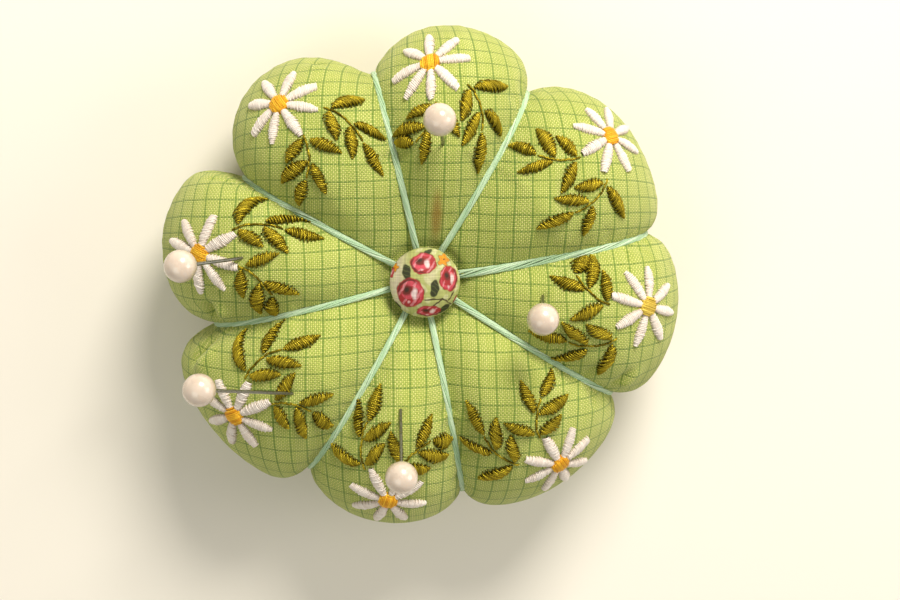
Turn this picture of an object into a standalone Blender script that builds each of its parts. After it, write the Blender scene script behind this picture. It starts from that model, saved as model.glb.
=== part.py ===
"""Flower-shaped pin cushion: a stuffed eight-petal cushion of two sewn cotton panels, drawn in by
eight turns of floss between two covered buttons, with embroidered petals and five pearl-headed pins.

The cushion lies flat with its embroidered side up (+Z), resting on z = 0, its centre on the Z axis.
Lengths below are in millimetres; objects are created in metres."""

import math

import bmesh
import bpy
import numpy as np
from mathutils import Matrix, Vector
from mathutils.geometry import delaunay_2d_cdt

MM = 0.001

# Outline: petal k lies between groove k and groove k + 1, counter-clockwise from the right.
PETALS = 8
GROOVE_ANGLES = (-32.3, 10.3, 59.8, 103.2, 150.3, 192.5, 239.6, 280.4)
NOTCH_RADII = (44.0, 44.5, 40.6, 39.8, 38.8, 40.6, 43.5, 43.2)
TIP_RADII = (50.6, 48.9, 48.3, 49.0, 49.9, 50.0, 49.3, 49.5)
LOBE_OFFSET = 33.0
LOBE_RADIUS = 16.5

# Cross-section, heights measured from the seam plane.
SEAM_Z = 18.2
CREST_RADIUS = 26.0
PETAL_HEIGHT = 19.0
BELLY_HEIGHT = 19.6
GROOVE_HEIGHT = 13.0
SWELL_POWER = 2.5
BUTTON_SEAT_RADIUS = 7.0
BUTTON_SEAT_HEIGHT = 9.5
HOLE_RADIUS = 3.4
HOLE_HEIGHT = 8.8

# Layers.
GAP = 0.3
CLOTH = 0.5
ALLOWANCE = 4.2
EDGE_THREAD_RADIUS = 0.35
CHANNEL_RADIUS = 3.25

# Floss and tie.
FLOSS_RADIUS = 0.6
FLOSS_LIFT = 1.4
FLOSS_RING = 2.3
TIE_RADIUS = 0.3
TIE_SPREAD = 0.95

# Covered buttons.
BUTTON_SEGMENTS = 16
BUTTON_LIFT = 2.0
BUTTON_COVER_RADIUS = 6.6
BUTTON_DOME = 3.7
COVER_CLOTH = 0.35
SHELL_WALL = 0.4
PLATE_RADIUS = 5.1
SHANK_WIRE = 0.35
SHANK_HALF_WIDTH = 1.0
SHANK_DEPTH = 3.0

# Pins: point where the pin enters the cloth, centre of its head, and how much of it is buried.
PIN_ENTRIES = ((3.0, 26.6), (21.7, -2.3), (-4.9, -23.7), (-25.4, -19.7), (-34.4, 5.5))
PIN_HEADS = (
    (1.7, 31.5, 48.0),
    (20.7, -5.0, 45.4),
    (-5.4, -33.0, 50.0),
    (-41.4, -15.9, 53.0),
    (-44.8, 5.2, 44.5),
)
PIN_PUSHES = (8.0, 5.0, 8.0, 16.0, 8.0)
PIN_LENGTH = 38.0
PIN_RADIUS = 0.325
PIN_POINT = 3.0
PIN_IN_HEAD = 1.0
PEARL_RADIUS = 3.0
PEARL_BORE = 0.55
PIN_TUNNEL = 0.6

# Embroidery, laid out on the flat cloth, whose rim is a circle of FLAT_RADIUS. Each place is the
# distance along the petal's middle line, then the distance to its left; a turn is in degrees.
FLAT_RADIUS = 61.5
STITCH_LIFT = 0.4
STITCH_DEPTH = 0.5
DAISY_PLACES = (
    (44.6, 3.6),
    (48.8, 2.4),
    (45.5, 5.6),
    (46.9, 1.6),
    (45.0, 0.4),
    (46.4, -1.2),
    (45.3, 0.1),
    (46.9, 1.8),
)
DAISY_TURNS = (-4.8, -9.4, 7.0, -2.5, -5.9, -11.9, -9.5, -3.8)
DAISY_REACH = 8.2
DAISY_SHOULDER = 6.9
DAISY_SHOULDER_TURN = 7.5
DAISY_VALLEY = 2.5
DAISY_EYE = 1.8
EYE_RADIUS = 1.5
LEAF_HALF_WIDTH = 1.05
LEAF_LIMIT = 0.82
STEM_HALF_WIDTH = 0.3
SPRIG_PLACES = (
    (44.5, 3.3),
    (48.3, 2.2),
    (45.2, 5.3),
    (46.9, 1.4),
    (45.2, 0.8),
    (46.5, -0.9),
    (45.7, 0.3),
    (46.7, 1.7),
)
SPRIG_TURNS = (2.8, -5.7, 14.2, 2.1, -1.4, -9.9, -4.6, 2.6)
SPRIG_STEMS = {
    "a": ((-6.2, -7.0), (-7.5, -7.8), (-9.7, -8.7), (-12.0, -9.1), (-14.3, -8.8)),
    "b": ((-8.9, 0.3), (-10.1, 0.7), (-11.8, 1.8), (-13.2, 3.3), (-14.2, 5.1)),
}
# Leaves as (stalk end, tip), each stalk end being the number of its point on the stem.
SPRIG_LEAVES = {
    "a": (
        (1, (-5.2, -15.2)),
        (1, (-11.9, -4.5)),
        (3, (-14.0, -13.8)),
        (3, (-16.5, -4.6)),
        (4, (-21.7, -7.9)),
    ),
    "b": (
        (1, (-9.0, 6.2)),
        (1, (-14.8, -3.3)),
        (2, (-10.2, 10.0)),
        (3, (-18.7, 4.1)),
        (4, (-14.7, 10.7)),
    ),
}

# Where a petal's cloth is sampled across its width (-1 and 1 are the grooves) and from middle to rim.
ACROSS = (-1.0, -0.84, -0.58, -0.29, 0.0, 0.29, 0.58, 0.84)
INNER_STEPS = (0.0, 0.1, 0.32, 0.64)
OUTER_ANGLES = (0.0, 22.0, 44.0, 66.0, 90.0)
MERIDIAN_STEPS = 40

COLOURS = {
    "green_check_cotton": (0.62, 0.66, 0.22, 1.0),
    "cotton_stuffing": (0.85, 0.84, 0.78, 1.0),
    "mint_floss": (0.60, 0.76, 0.50, 1.0),
    "sewing_thread": (0.66, 0.70, 0.40, 1.0),
    "white_floss": (0.93, 0.86, 0.72, 1.0),
    "golden_floss": (0.86, 0.55, 0.10, 1.0),
    "olive_floss": (0.36, 0.29, 0.04, 1.0),
    "rose_print_cotton": (0.74, 0.76, 0.55, 1.0),
    "button_tin": (0.70, 0.71, 0.72, 1.0),
    "pin_steel": (0.78, 0.78, 0.80, 1.0),
    "pearl": (0.86, 0.76, 0.66, 1.0),
}
METALS = ("button_tin", "pin_steel")


# ---------------------------------------------------------------- materials and objects


def new_material(name, kind):
    material = bpy.data.materials.new(name)
    material.use_nodes = True
    shader = material.node_tree.nodes["Principled BSDF"]
    shader.inputs["Base Color"].default_value = COLOURS[kind]
    shader.inputs["Metallic"].default_value = 1.0 if kind in METALS else 0.0
    shader.inputs["Roughness"].default_value = 0.3 if kind in METALS or kind == "pearl" else 0.85
    material.diffuse_color = COLOURS[kind]
    return material


def new_object(name, kind, points, faces, parent=None):
    """A mesh object from points in millimetres, its faces turned outward."""
    mesh = bpy.data.meshes.new(name)
    mesh.from_pydata([Vector(point) * MM for point in points], [], faces)
    work = bmesh.new()
    work.from_mesh(mesh)
    bmesh.ops.recalc_face_normals(work, faces=work.faces)
    if work.calc_volume(signed=True) < 0:
        bmesh.ops.reverse_faces(work, faces=work.faces)
    work.to_mesh(mesh)
    work.free()
    mesh.polygons.foreach_set("use_smooth", [True] * len(mesh.polygons))
    mesh.materials.append(new_material(name + "_material", kind))
    obj = bpy.data.objects.new(name, mesh)
    bpy.context.scene.collection.objects.link(obj)
    obj.parent = parent
    return obj


def new_cord(name, kind, path, radius, closed=False):
    """A round cord along a path in millimetres, six-sided, with closed ends."""
    curve = bpy.data.curves.new(name, "CURVE")
    curve.dimensions = "3D"
    curve.bevel_depth = radius * MM
    curve.bevel_resolution = 1
    curve.use_fill_caps = not closed
    spline = curve.splines.new("POLY")
    spline.points.add(len(path) - 1)
    for knot, point in zip(spline.points, path):
        knot.co = (*(Vector(point) * MM), 1.0)
    spline.use_cyclic_u = closed
    curve.materials.append(new_material(name + "_material", kind))
    obj = bpy.data.objects.new(name, curve)
    bpy.context.scene.collection.objects.link(obj)
    return obj


def ring_solid(rings):
    """Points and faces of a solid swept right round: rings is (profile point, column, xyz)."""
    rows, columns = rings.shape[:2]
    faces = []
    for row in range(rows):
        for column in range(columns):
            after, beside = (row + 1) % rows, (column + 1) % columns
            faces.append(
                (
                    row * columns + column,
                    row * columns + beside,
                    after * columns + beside,
                    after * columns + column,
                )
            )
    return rings.reshape(-1, 3), faces


def lathe(profile, segments):
    """Points and faces of a solid of revolution: its profile starts and ends on the Z axis."""
    points = [(0.0, 0.0, profile[0][1])]
    for radius, height in profile[1:-1]:
        for step in range(segments):
            angle = 2 * math.pi * step / segments
            points.append((radius * math.cos(angle), radius * math.sin(angle), height))
    points.append((0.0, 0.0, profile[-1][1]))
    last = len(points) - 1
    rows = len(profile) - 2
    faces = []
    for step in range(segments):
        beside = (step + 1) % segments
        faces.append((0, 1 + beside, 1 + step))
        faces.append((last, last - segments + step, last - segments + beside))
        for row in range(rows - 1):
            low, high = 1 + row * segments, 1 + (row + 1) * segments
            faces.append((low + step, low + beside, high + beside, high + step))
    return points, faces


# ---------------------------------------------------------------- the cushion's shape


def groove_angle(index):
    """Direction of a groove in degrees, for any index; it keeps rising past the last groove."""
    turns, step = divmod(index, PETALS)
    return GROOVE_ANGLES[step] + 360.0 * turns


def direction_of(petal, across):
    start, end = groove_angle(petal), groove_angle(petal + 1)
    return math.radians(start + (end - start) * (across + 1) / 2)


def place_on_petal(angle):
    """The petal that a direction in radians falls on, and how far across it the direction is."""
    degrees = math.degrees(angle)
    while degrees < GROOVE_ANGLES[0]:
        degrees += 360.0
    while degrees >= GROOVE_ANGLES[0] + 360.0:
        degrees -= 360.0
    petal = max(k for k in range(PETALS) if GROOVE_ANGLES[k] <= degrees)
    start, end = groove_angle(petal), groove_angle(petal + 1)
    return petal, 2 * (degrees - start) / (end - start) - 1


def lobe(across):
    """Distance to the edge of a round lobe set off the middle, seen at a direction across it."""
    angle = math.pi / PETALS * across
    side = LOBE_OFFSET * math.sin(angle)
    return LOBE_OFFSET * math.cos(angle) + math.sqrt(LOBE_RADIUS**2 - side**2)


def rim_radius(petal, across):
    notch = NOTCH_RADII[petal] * (1 - across) / 2
    notch += NOTCH_RADII[(petal + 1) % PETALS] * (1 + across) / 2
    share = (lobe(across) - lobe(1)) / (lobe(0) - lobe(1))
    return notch + (TIP_RADII[petal] - notch) * share


def swell(across):
    return 1 - abs(across) ** SWELL_POWER


def cloth_height(petal, across, radius, below=False):
    """Height of the cloth's outer side from the seam plane; the side below is flat where it rests."""
    full = BELLY_HEIGHT if below else PETAL_HEIGHT
    rise = (full - GROOVE_HEIGHT) * swell(across)
    if radius >= CREST_RADIUS:
        share = (radius - CREST_RADIUS) / (rim_radius(petal, across) - CREST_RADIUS)
        height = (GROOVE_HEIGHT + rise) * math.sqrt(max(0.0, 1 - share**2))
    elif radius >= BUTTON_SEAT_RADIUS:
        share = (radius - BUTTON_SEAT_RADIUS) / (CREST_RADIUS - BUTTON_SEAT_RADIUS)
        crest = GROOVE_HEIGHT + rise * radius / CREST_RADIUS
        climb = (1 - (1 - share) ** 2.2) ** 0.75
        height = BUTTON_SEAT_HEIGHT + (crest - BUTTON_SEAT_HEIGHT) * climb
    else:
        share = (radius - HOLE_RADIUS) / (BUTTON_SEAT_RADIUS - HOLE_RADIUS)
        height = HOLE_HEIGHT + (BUTTON_SEAT_HEIGHT - HOLE_HEIGHT) * share
    return -min(height, SEAM_Z) if below else height


def meridian_radii(petal, across):
    """Distances from the middle at which the cloth is sampled, from the hole out to the rim."""
    radii = [HOLE_RADIUS]
    radii += [
        BUTTON_SEAT_RADIUS + step * (CREST_RADIUS - BUTTON_SEAT_RADIUS) for step in INNER_STEPS
    ]
    reach = rim_radius(petal, across) - CREST_RADIUS
    radii += [CREST_RADIUS + reach * math.sin(math.radians(turn)) for turn in OUTER_ANGLES]
    return radii


COLUMNS = [(petal, across) for petal in range(PETALS) for across in ACROSS]


def at(petal, across, radius, height):
    angle = direction_of(petal, across)
    return (radius * math.cos(angle), radius * math.sin(angle), SEAM_Z + height)


def cloth_rings(below):
    """Rings of points over one side of the cushion, from the centre hole out to the rim."""
    rings = [
        [
            at(petal, across, radius, cloth_height(petal, across, radius, below))
            for radius in meridian_radii(petal, across)
        ]
        for petal, across in COLUMNS
    ]
    return np.array(rings).transpose(1, 0, 2)


def outward_normals(rings, below):
    """Unit normals of the cloth, pointing out of the cushion; level at the rim."""
    along = np.gradient(rings, axis=0)
    around = np.roll(rings, -1, axis=1) - np.roll(rings, 1, axis=1)
    normals = np.cross(along, around) * (-1 if below else 1)
    normals[-1, :, 2] = 0.0
    return normals / np.linalg.norm(normals, axis=2, keepdims=True)


def inset(rings, normals, depth):
    """The rings moved into the cushion by a depth, the hole's edge kept at its own radius."""
    moved = rings - normals * depth
    hole = moved[0, :, :2]
    moved[0, :, :2] = hole * (HOLE_RADIUS / np.linalg.norm(hole, axis=1, keepdims=True))
    return moved


def rim_ring(depth, height):
    """A ring that follows the outline at a distance inside it and a height from the seam plane."""
    rim = np.array([at(petal, across, rim_radius(petal, across), 0.0) for petal, across in COLUMNS])
    around = np.roll(rim, -1, axis=0) - np.roll(rim, 1, axis=0)
    outward = np.stack([around[:, 1], -around[:, 0], np.zeros(len(rim))], axis=1)
    outward /= np.linalg.norm(outward, axis=1, keepdims=True)
    return rim - outward * depth + np.array([0.0, 0.0, height])


def build_panel(name, below):
    """One cotton panel with its edge turned in along the seam."""
    side = -1 if below else 1
    outer = cloth_rings(below)
    normals = outward_normals(outer, below)
    outer[-1] = rim_ring(0.0, side * GAP / 2)
    inner = inset(cloth_rings(below), normals, CLOTH)
    inner[-1] = rim_ring(CLOTH, side * (GAP / 2 + CLOTH))
    fold = [rim_ring(ALLOWANCE, side * GAP / 2), rim_ring(ALLOWANCE, side * (GAP / 2 + CLOTH))]
    rings = np.concatenate([outer, np.array(fold), inner[::-1]])
    return new_object(name, "green_check_cotton", *ring_solid(rings))


def build_stuffing():
    """The filling: it fills the panels, with a slot for the seam and a channel up the middle."""
    depth = CLOTH + GAP
    slot = GAP / 2 + CLOTH + GAP
    slot_depth = ALLOWANCE + 2 * EDGE_THREAD_RADIUS + 2 * GAP
    sides = []
    for below in (False, True):
        rings = cloth_rings(below)
        moved = inset(rings, outward_normals(rings, below), depth)
        side = -1 if below else 1
        moved[-1] = rim_ring(depth, side * slot)
        direction = rings[0, :, :2] / np.linalg.norm(rings[0, :, :2], axis=1, keepdims=True)
        moved[0, :, :2] = direction * CHANNEL_RADIUS
        sides.append(np.concatenate([moved, rim_ring(slot_depth, side * slot)[None]]))
    rings = np.concatenate([sides[0], sides[1][::-1]])
    return new_object("stuffing", "cotton_stuffing", *ring_solid(rings))


def build_seam_thread():
    """The overcast thread that closes the two turned edges, lying beside them in the slot."""
    middle = ALLOWANCE + GAP + EDGE_THREAD_RADIUS
    reach = EDGE_THREAD_RADIUS
    profile = [rim_ring(middle - reach, 0.0), rim_ring(middle, reach)]
    profile += [rim_ring(middle + reach, 0.0), rim_ring(middle, -reach)]
    return new_object("seam_thread", "sewing_thread", *ring_solid(np.array(profile)))


# ---------------------------------------------------------------- floss, tie and buttons


def polar(angle, radius, height):
    return (radius * math.cos(angle), radius * math.sin(angle), SEAM_Z + height)


def floss_over(groove, below):
    """The floss on one side of a groove, from beside the centre hole out to the rim."""
    angle = math.radians(GROOVE_ANGLES[groove])
    side = -1 if below else 1
    path = [(FLOSS_RING, HOLE_HEIGHT - 0.5), (2.65, HOLE_HEIGHT + 0.45), (3.5, HOLE_HEIGHT + 1.05)]
    path.append((5.2, BUTTON_SEAT_HEIGHT + 0.85))
    radii = [radius for radius in meridian_radii(groove, -1.0) if radius > BUTTON_SEAT_RADIUS]
    line = [(radius, abs(cloth_height(groove, -1.0, radius, below))) for radius in radii]
    line = [(BUTTON_SEAT_RADIUS, BUTTON_SEAT_HEIGHT), *line]
    for index, (radius, height) in enumerate(line[:-1]):
        ahead, behind = line[index + 1], line[max(index - 1, 0)]
        run, rise = ahead[0] - behind[0], ahead[1] - behind[1]
        lift = FLOSS_LIFT if index else 1.15
        scale = lift / math.hypot(run, rise)
        path.append((radius - rise * scale, height + run * scale))
    return [polar(angle, radius, side * height) for radius, height in path]


def build_wrap_thread():
    """One length of floss: up the middle, out along a groove, round the rim and back, eight times."""
    path = []
    for groove in range(PETALS):
        angle = math.radians(GROOVE_ANGLES[groove])
        before = math.radians(groove_angle(groove - 1))
        leg_start = -HOLE_HEIGHT + (4.5 if groove == 0 else 0.5)
        steps = (0.0, 0.33, 0.67) if groove == 0 else (0.33, 0.67)
        for share in steps:
            height = leg_start + share * (HOLE_HEIGHT - 0.5 - leg_start)
            path.append(polar(before + share * (angle - before), FLOSS_RING, height))
        path += floss_over(groove, False)
        path.append(polar(angle, NOTCH_RADII[groove] + FLOSS_LIFT, 0.0))
        path += floss_over(groove, True)[::-1]
    return new_cord("wrap_thread", "mint_floss", path, FLOSS_RADIUS)


def build_button_tie():
    """The closed loop of thread that joins the two button shanks through the middle."""
    top = BUTTON_SEAT_HEIGHT + BUTTON_LIFT - SHANK_DEPTH + SHANK_WIRE + GAP + TIE_RADIUS
    path = []
    for side in (1, -1):
        for spread, height in ((-1.0, top - 0.5), (-0.5, top), (0.5, top), (1.0, top - 0.5)):
            path.append((0.0, side * spread * TIE_SPREAD, SEAM_Z + side * height))
    return new_cord("button_tie", "sewing_thread", path, TIE_RADIUS, closed=True)


def dome(radius, height, edge_height, steps):
    """Profile points of a shallow dome from its top out to its edge."""
    points = []
    for step in range(steps + 1):
        share = step / steps
        drop = (height - edge_height) * (1 - math.sqrt(1 - (0.93 * share) ** 2)) / 0.6325
        points.append((radius * share, height - drop))
    return points


def button_part(name, kind, profile, below):
    """A turned piece of a button, given upward from the button's underside."""
    base = BUTTON_SEAT_HEIGHT + BUTTON_LIFT
    points, faces = lathe(profile, BUTTON_SEGMENTS)
    side = -1 if below else 1
    placed = [(x, y, SEAM_Z + side * (base + z)) for x, y, z in points]
    return new_object(name, kind, placed, faces)


def build_button(prefix, below):
    cover_out = dome(BUTTON_COVER_RADIUS, BUTTON_DOME, 1.2, 3)
    cover_in = dome(
        BUTTON_COVER_RADIUS - COVER_CLOTH, BUTTON_DOME - COVER_CLOTH, 1.2 - 0.2 * COVER_CLOTH, 3
    )
    turned = [(BUTTON_COVER_RADIUS - 0.1, 0.35), (BUTTON_COVER_RADIUS - 0.6, 0.0), (4.5, 0.0)]
    tucked = [(4.5, COVER_CLOTH), (BUTTON_COVER_RADIUS - 0.75, COVER_CLOTH)]
    profile = cover_in[:1] + cover_in[1:] + tucked[::-1] + turned[::-1] + cover_out[::-1]
    button_part(prefix + "_cover", "rose_print_cotton", profile, below)

    radius = BUTTON_COVER_RADIUS - COVER_CLOTH - GAP
    height = BUTTON_DOME - COVER_CLOTH - GAP
    shell_out = dome(radius, height, 1.1, 3)
    shell_in = dome(radius - SHELL_WALL, height - SHELL_WALL, 1.05, 3)
    lip = [(radius - SHELL_WALL, 0.68), (radius - 0.08, 0.68)]
    button_part(prefix + "_shell", "button_tin", shell_in + lip + shell_out[::-1], below)

    plate = [(0.0, 0.65), (PLATE_RADIUS - 0.2, 0.65), (PLATE_RADIUS, 0.8), (PLATE_RADIUS, 1.0)]
    plate += [(PLATE_RADIUS - 0.2, 1.15), (0.0, 1.15)]
    button_part(prefix + "_back", "button_tin", plate, below)

    side = -1 if below else 1
    base = BUTTON_SEAT_HEIGHT + BUTTON_LIFT
    bend = 0.6
    path = []
    for x, z in (
        (-1.0, 0.65 - GAP),
        (-1.0, bend - SHANK_DEPTH),
        (-0.55, -SHANK_DEPTH),
        (0.55, -SHANK_DEPTH),
        (1.0, bend - SHANK_DEPTH),
        (1.0, 0.65 - GAP),
    ):
        path.append((x * SHANK_HALF_WIDTH, 0.0, SEAM_Z + side * (base + z)))
    new_cord(prefix + "_shank", "button_tin", path, SHANK_WIRE)


# ---------------------------------------------------------------- pins


def pin_axis(number):
    """Entry point of a pin on the cloth, its head's centre, and the direction from one to the other."""
    x, y = PIN_ENTRIES[number]
    petal, across = place_on_petal(math.atan2(y, x))
    height = cloth_height(petal, across, math.hypot(x, y))
    entry = Vector((x, y, SEAM_Z + height))
    head = Vector(PIN_HEADS[number])
    return entry, head, (head - entry).normalized()


def build_pin(number):
    """A steel pin with a moulded pearl head. Both ride on an empty whose Z is the pin's own axis."""
    entry, head, outward = pin_axis(number)
    stand = (head - entry).length
    axis = bpy.data.objects.new(f"pin_axis_{number + 1}", None)
    axis.matrix_world = Matrix.Translation(entry * MM) @ outward.to_track_quat("Z", "Y").to_matrix().to_4x4()
    bpy.context.scene.collection.objects.link(axis)

    end = stand + PIN_IN_HEAD
    tip = end - PIN_LENGTH
    shaft = [(0.0, tip), (0.06, tip + 0.1), (PIN_RADIUS, tip + PIN_POINT), (PIN_RADIUS, end), (0.0, end)]
    new_object(f"pin_shaft_{number + 1}", "pin_steel", *lathe(shaft, 8), parent=axis)

    mouth = math.asin(PEARL_BORE / PEARL_RADIUS)
    turns = [mouth + (math.pi - mouth) * step / 6 for step in range(7)]
    pearl = [(0.0, end + GAP), (PEARL_BORE, end + GAP)]
    pearl += [
        (PEARL_RADIUS * math.sin(turn), stand - PEARL_RADIUS * math.cos(turn)) for turn in turns[:-1]
    ]
    pearl.append((0.0, stand + PEARL_RADIUS))
    new_object(f"pearl_head_{number + 1}", "pearl", *lathe(pearl, 12), parent=axis)


def pierce(targets):
    """Cuts the tunnels of the pins, with room to push each pin further in."""
    for number in range(len(PIN_ENTRIES)):
        entry, head, outward = pin_axis(number)
        stand = (head - entry).length
        low = stand + PIN_IN_HEAD - PIN_LENGTH - PIN_PUSHES[number] - 0.5
        rod = [(0.0, low), (PIN_TUNNEL, low), (PIN_TUNNEL, 2.0), (0.0, 2.0)]
        cutter = new_object(f"pin_tunnel_{number + 1}", "pin_steel", *lathe(rod, 8))
        cutter.matrix_world = (
            Matrix.Translation(entry * MM) @ outward.to_track_quat("Z", "Y").to_matrix().to_4x4()
        )
        cutter.hide_render = True
        cutter.display_type = "WIRE"
        for target in targets:
            cut = target.modifiers.new(f"tunnel_{number + 1}", "BOOLEAN")
            cut.operation = "DIFFERENCE"
            cut.solver = "EXACT"
            cut.object = cutter


# ---------------------------------------------------------------- embroidery


def cloth_point(u, v):
    """The point of the upper cloth's outer side that the point (u, v) of the flat cloth lies on."""
    angle = math.atan2(v, u)
    petal, across = place_on_petal(angle)
    rim = rim_radius(petal, across)
    turns = np.linspace(0.0, math.pi / 2, MERIDIAN_STEPS)
    inner = np.linspace(HOLE_RADIUS, CREST_RADIUS, MERIDIAN_STEPS)[:-1]
    radii = np.concatenate([inner, CREST_RADIUS + (rim - CREST_RADIUS) * np.sin(turns)])
    heights = np.array([cloth_height(petal, across, radius) for radius in radii])
    lengths = np.concatenate([[0.0], np.cumsum(np.hypot(np.diff(radii), np.diff(heights)))])
    flat = HOLE_RADIUS + lengths * (FLAT_RADIUS - HOLE_RADIUS) / lengths[-1]
    distance = math.hypot(u, v)
    return Vector(at(petal, across, np.interp(distance, flat, radii), np.interp(distance, flat, heights)))


def lay_on_cloth(u, v, lift):
    """The point lift above the cloth at the point (u, v) of the flat cloth."""
    step = 0.1
    point = cloth_point(u, v)
    along_u = cloth_point(u + step, v) - cloth_point(u - step, v)
    along_v = cloth_point(u, v + step) - cloth_point(u, v - step)
    return point + along_u.cross(along_v).normalized() * lift


def on_flat_cloth(petal, place, turn, point):
    """A point of a motif that stands at a place of a petal, turned by some degrees."""
    u, v = Matrix.Rotation(math.radians(turn), 2) @ Vector(point) + Vector(place)
    return Matrix.Rotation(direction_of(petal, 0.0), 2) @ Vector((u, v))


def off_the_grooves(petal, point):
    """The point itself, or the nearest one at its distance that keeps clear of the floss."""
    middle = direction_of(petal, 0.0)
    half_angle = direction_of(petal, 1.0) - middle
    offset = (math.atan2(point.y, point.x) - middle + math.pi) % (2 * math.pi) - math.pi
    across = max(-LEAF_LIMIT, min(LEAF_LIMIT, offset / half_angle))
    return Matrix.Rotation(direction_of(petal, across), 2) @ Vector((point.length, 0.0))


def solid_faces(count, triangles):
    """Faces of a thin solid whose upper layer of count points repeats its lower one."""
    faces = [tuple(reversed(triangle)) for triangle in triangles]
    faces += [tuple(index + count for index in triangle) for triangle in triangles]
    edges = set()
    for triangle in triangles:
        edges.update(zip(triangle, triangle[1:] + triangle[:1]))
    for start, end in sorted(edges):
        if (end, start) not in edges:
            faces.append((start, end, end + count, start + count))
    return faces


def pad_on_cloth(name, kind, flat, triangles):
    """A thin solid of satin stitches: flat pattern points laid over the cloth, with an even depth."""
    lower = [lay_on_cloth(u, v, STITCH_LIFT) for u, v in flat]
    upper = [lay_on_cloth(u, v, STITCH_LIFT + STITCH_DEPTH) for u, v in flat]
    points = [tuple(point) for point in lower + upper]
    return new_object(name, kind, points, solid_faces(len(flat), triangles))


def build_daisy(petal):
    """Eight long stitched petals in a ring, with a round stitched centre inside it."""

    def spot(length, turn):
        point = (length * math.cos(math.radians(turn)), length * math.sin(math.radians(turn)))
        return on_flat_cloth(petal, DAISY_PLACES[petal], DAISY_TURNS[petal], point)

    shoulder = DAISY_SHOULDER_TURN
    corners = (
        (DAISY_VALLEY, -22.5),
        (DAISY_SHOULDER, -shoulder),
        (DAISY_REACH, 0.0),
        (DAISY_SHOULDER, shoulder),
    )
    ring = [spot(DAISY_EYE, 45.0 * lobe_number - 22.5) for lobe_number in range(8)]
    outline = [
        spot(length, 45.0 * lobe_number + turn) for lobe_number in range(8) for length, turn in corners
    ]
    triangles = []
    for lobe_number in range(8):
        after = (lobe_number + 1) % 8
        valley, left, tip, right = (8 + 4 * lobe_number + corner for corner in range(4))
        next_valley = 8 + 4 * after
        triangles.append((lobe_number, valley, next_valley))
        triangles.append((lobe_number, next_valley, after))
        triangles.append((valley, left, right))
        triangles.append((valley, right, next_valley))
        triangles.append((left, tip, right))
    pad_on_cloth(f"daisy_petals_{petal + 1}", "white_floss", ring + outline, triangles)

    eye = [spot(0.0, 0.0)] + [spot(EYE_RADIUS, 45.0 * step) for step in range(8)]
    fan = [(0, 1 + step, 1 + (step + 1) % 8) for step in range(8)]
    pad_on_cloth(f"daisy_centre_{petal + 1}", "golden_floss", eye, fan)


def leaf_outline(base, tip):
    """Six corners of a pointed leaf from its stalk end, which overlaps the stem, to its tip."""
    corners = ((-0.1, 0.0), (0.3, -1.0), (0.68, -0.85), (1.0, 0.0), (0.68, 0.85), (0.3, 1.0))
    ahead = tip - base
    beside = Vector((-ahead.y, ahead.x)).normalized() * LEAF_HALF_WIDTH
    return [base + ahead * u + beside * v for u, v in corners]


def strip_outline(path):
    """Corners of a narrow band along a path."""
    left, right = [], []
    for index, point in enumerate(path):
        ahead = path[min(index + 1, len(path) - 1)] - path[max(index - 1, 0)]
        side = Vector((-ahead.y, ahead.x)).normalized() * STEM_HALF_WIDTH
        left.append(point + side)
        right.append(point - side)
    return right + left[::-1]


def join_outlines(outlines):
    """Triangles of the union of flat outlines, as points and corner indices."""
    points, faces = [], []
    for outline in outlines:
        faces.append(list(range(len(points), len(points) + len(outline))))
        points += outline
    merged, _, triangles, _, _, sources = delaunay_2d_cdt(points, [], faces, 0, 1e-4)
    kept = [tuple(triangle) for triangle, source in zip(triangles, sources) if source]
    used = sorted({index for triangle in kept for index in triangle})
    number = {index: position for position, index in enumerate(used)}
    turned = []
    for triangle in kept:
        a, b, c = (merged[index] for index in triangle)
        flat = tuple(number[index] for index in triangle)
        turned.append(flat if (b - a).cross(c - a) > 0 else flat[::-1])
    return [tuple(merged[index]) for index in used], turned


def build_sprig(petal, letter):
    """Five leaves on a stem that runs from the daisy toward the middle of the cushion."""

    def spot(point):
        laid = on_flat_cloth(petal, SPRIG_PLACES[petal], SPRIG_TURNS[petal], point)
        return off_the_grooves(petal, laid)

    stem = [spot(point) for point in SPRIG_STEMS[letter]]
    outlines = [strip_outline(stem)]
    for stalk, tip in SPRIG_LEAVES[letter]:
        outlines.append(leaf_outline(stem[stalk], spot(tip)))
    flat, triangles = join_outlines(outlines)
    return pad_on_cloth(f"leaf_sprig_{petal + 1}{letter}", "olive_floss", flat, triangles)


# ---------------------------------------------------------------- the assembly

for leftover in list(bpy.data.objects):
    bpy.data.objects.remove(leftover, do_unlink=True)

top_panel = build_panel("top_panel", False)
build_panel("bottom_panel", True)
stuffing = build_stuffing()
build_seam_thread()
build_wrap_thread()
build_button_tie()
build_button("top_button", False)
build_button("bottom_button", True)
for flower in range(PETALS):
    build_daisy(flower)
    build_sprig(flower, "a")
    build_sprig(flower, "b")
for pin in range(len(PIN_ENTRIES)):
    build_pin(pin)
pierce((top_panel, stuffing, bpy.data.objects["leaf_sprig_6b"]))
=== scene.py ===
"""Looks of the flower-shaped pin cushion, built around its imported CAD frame.

Shapes are worked out in millimetres, with the cushion's middle on the Z axis, and become metres when
a mesh is made. The embroidery is laid out on the flat cloth: two discs of FLAT_RADIUS, one for each
side, whose middle line and grooves follow the same angles as the finished cushion."""

import math

import bpy
import numpy as np
from mathutils import Matrix, Vector


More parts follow.
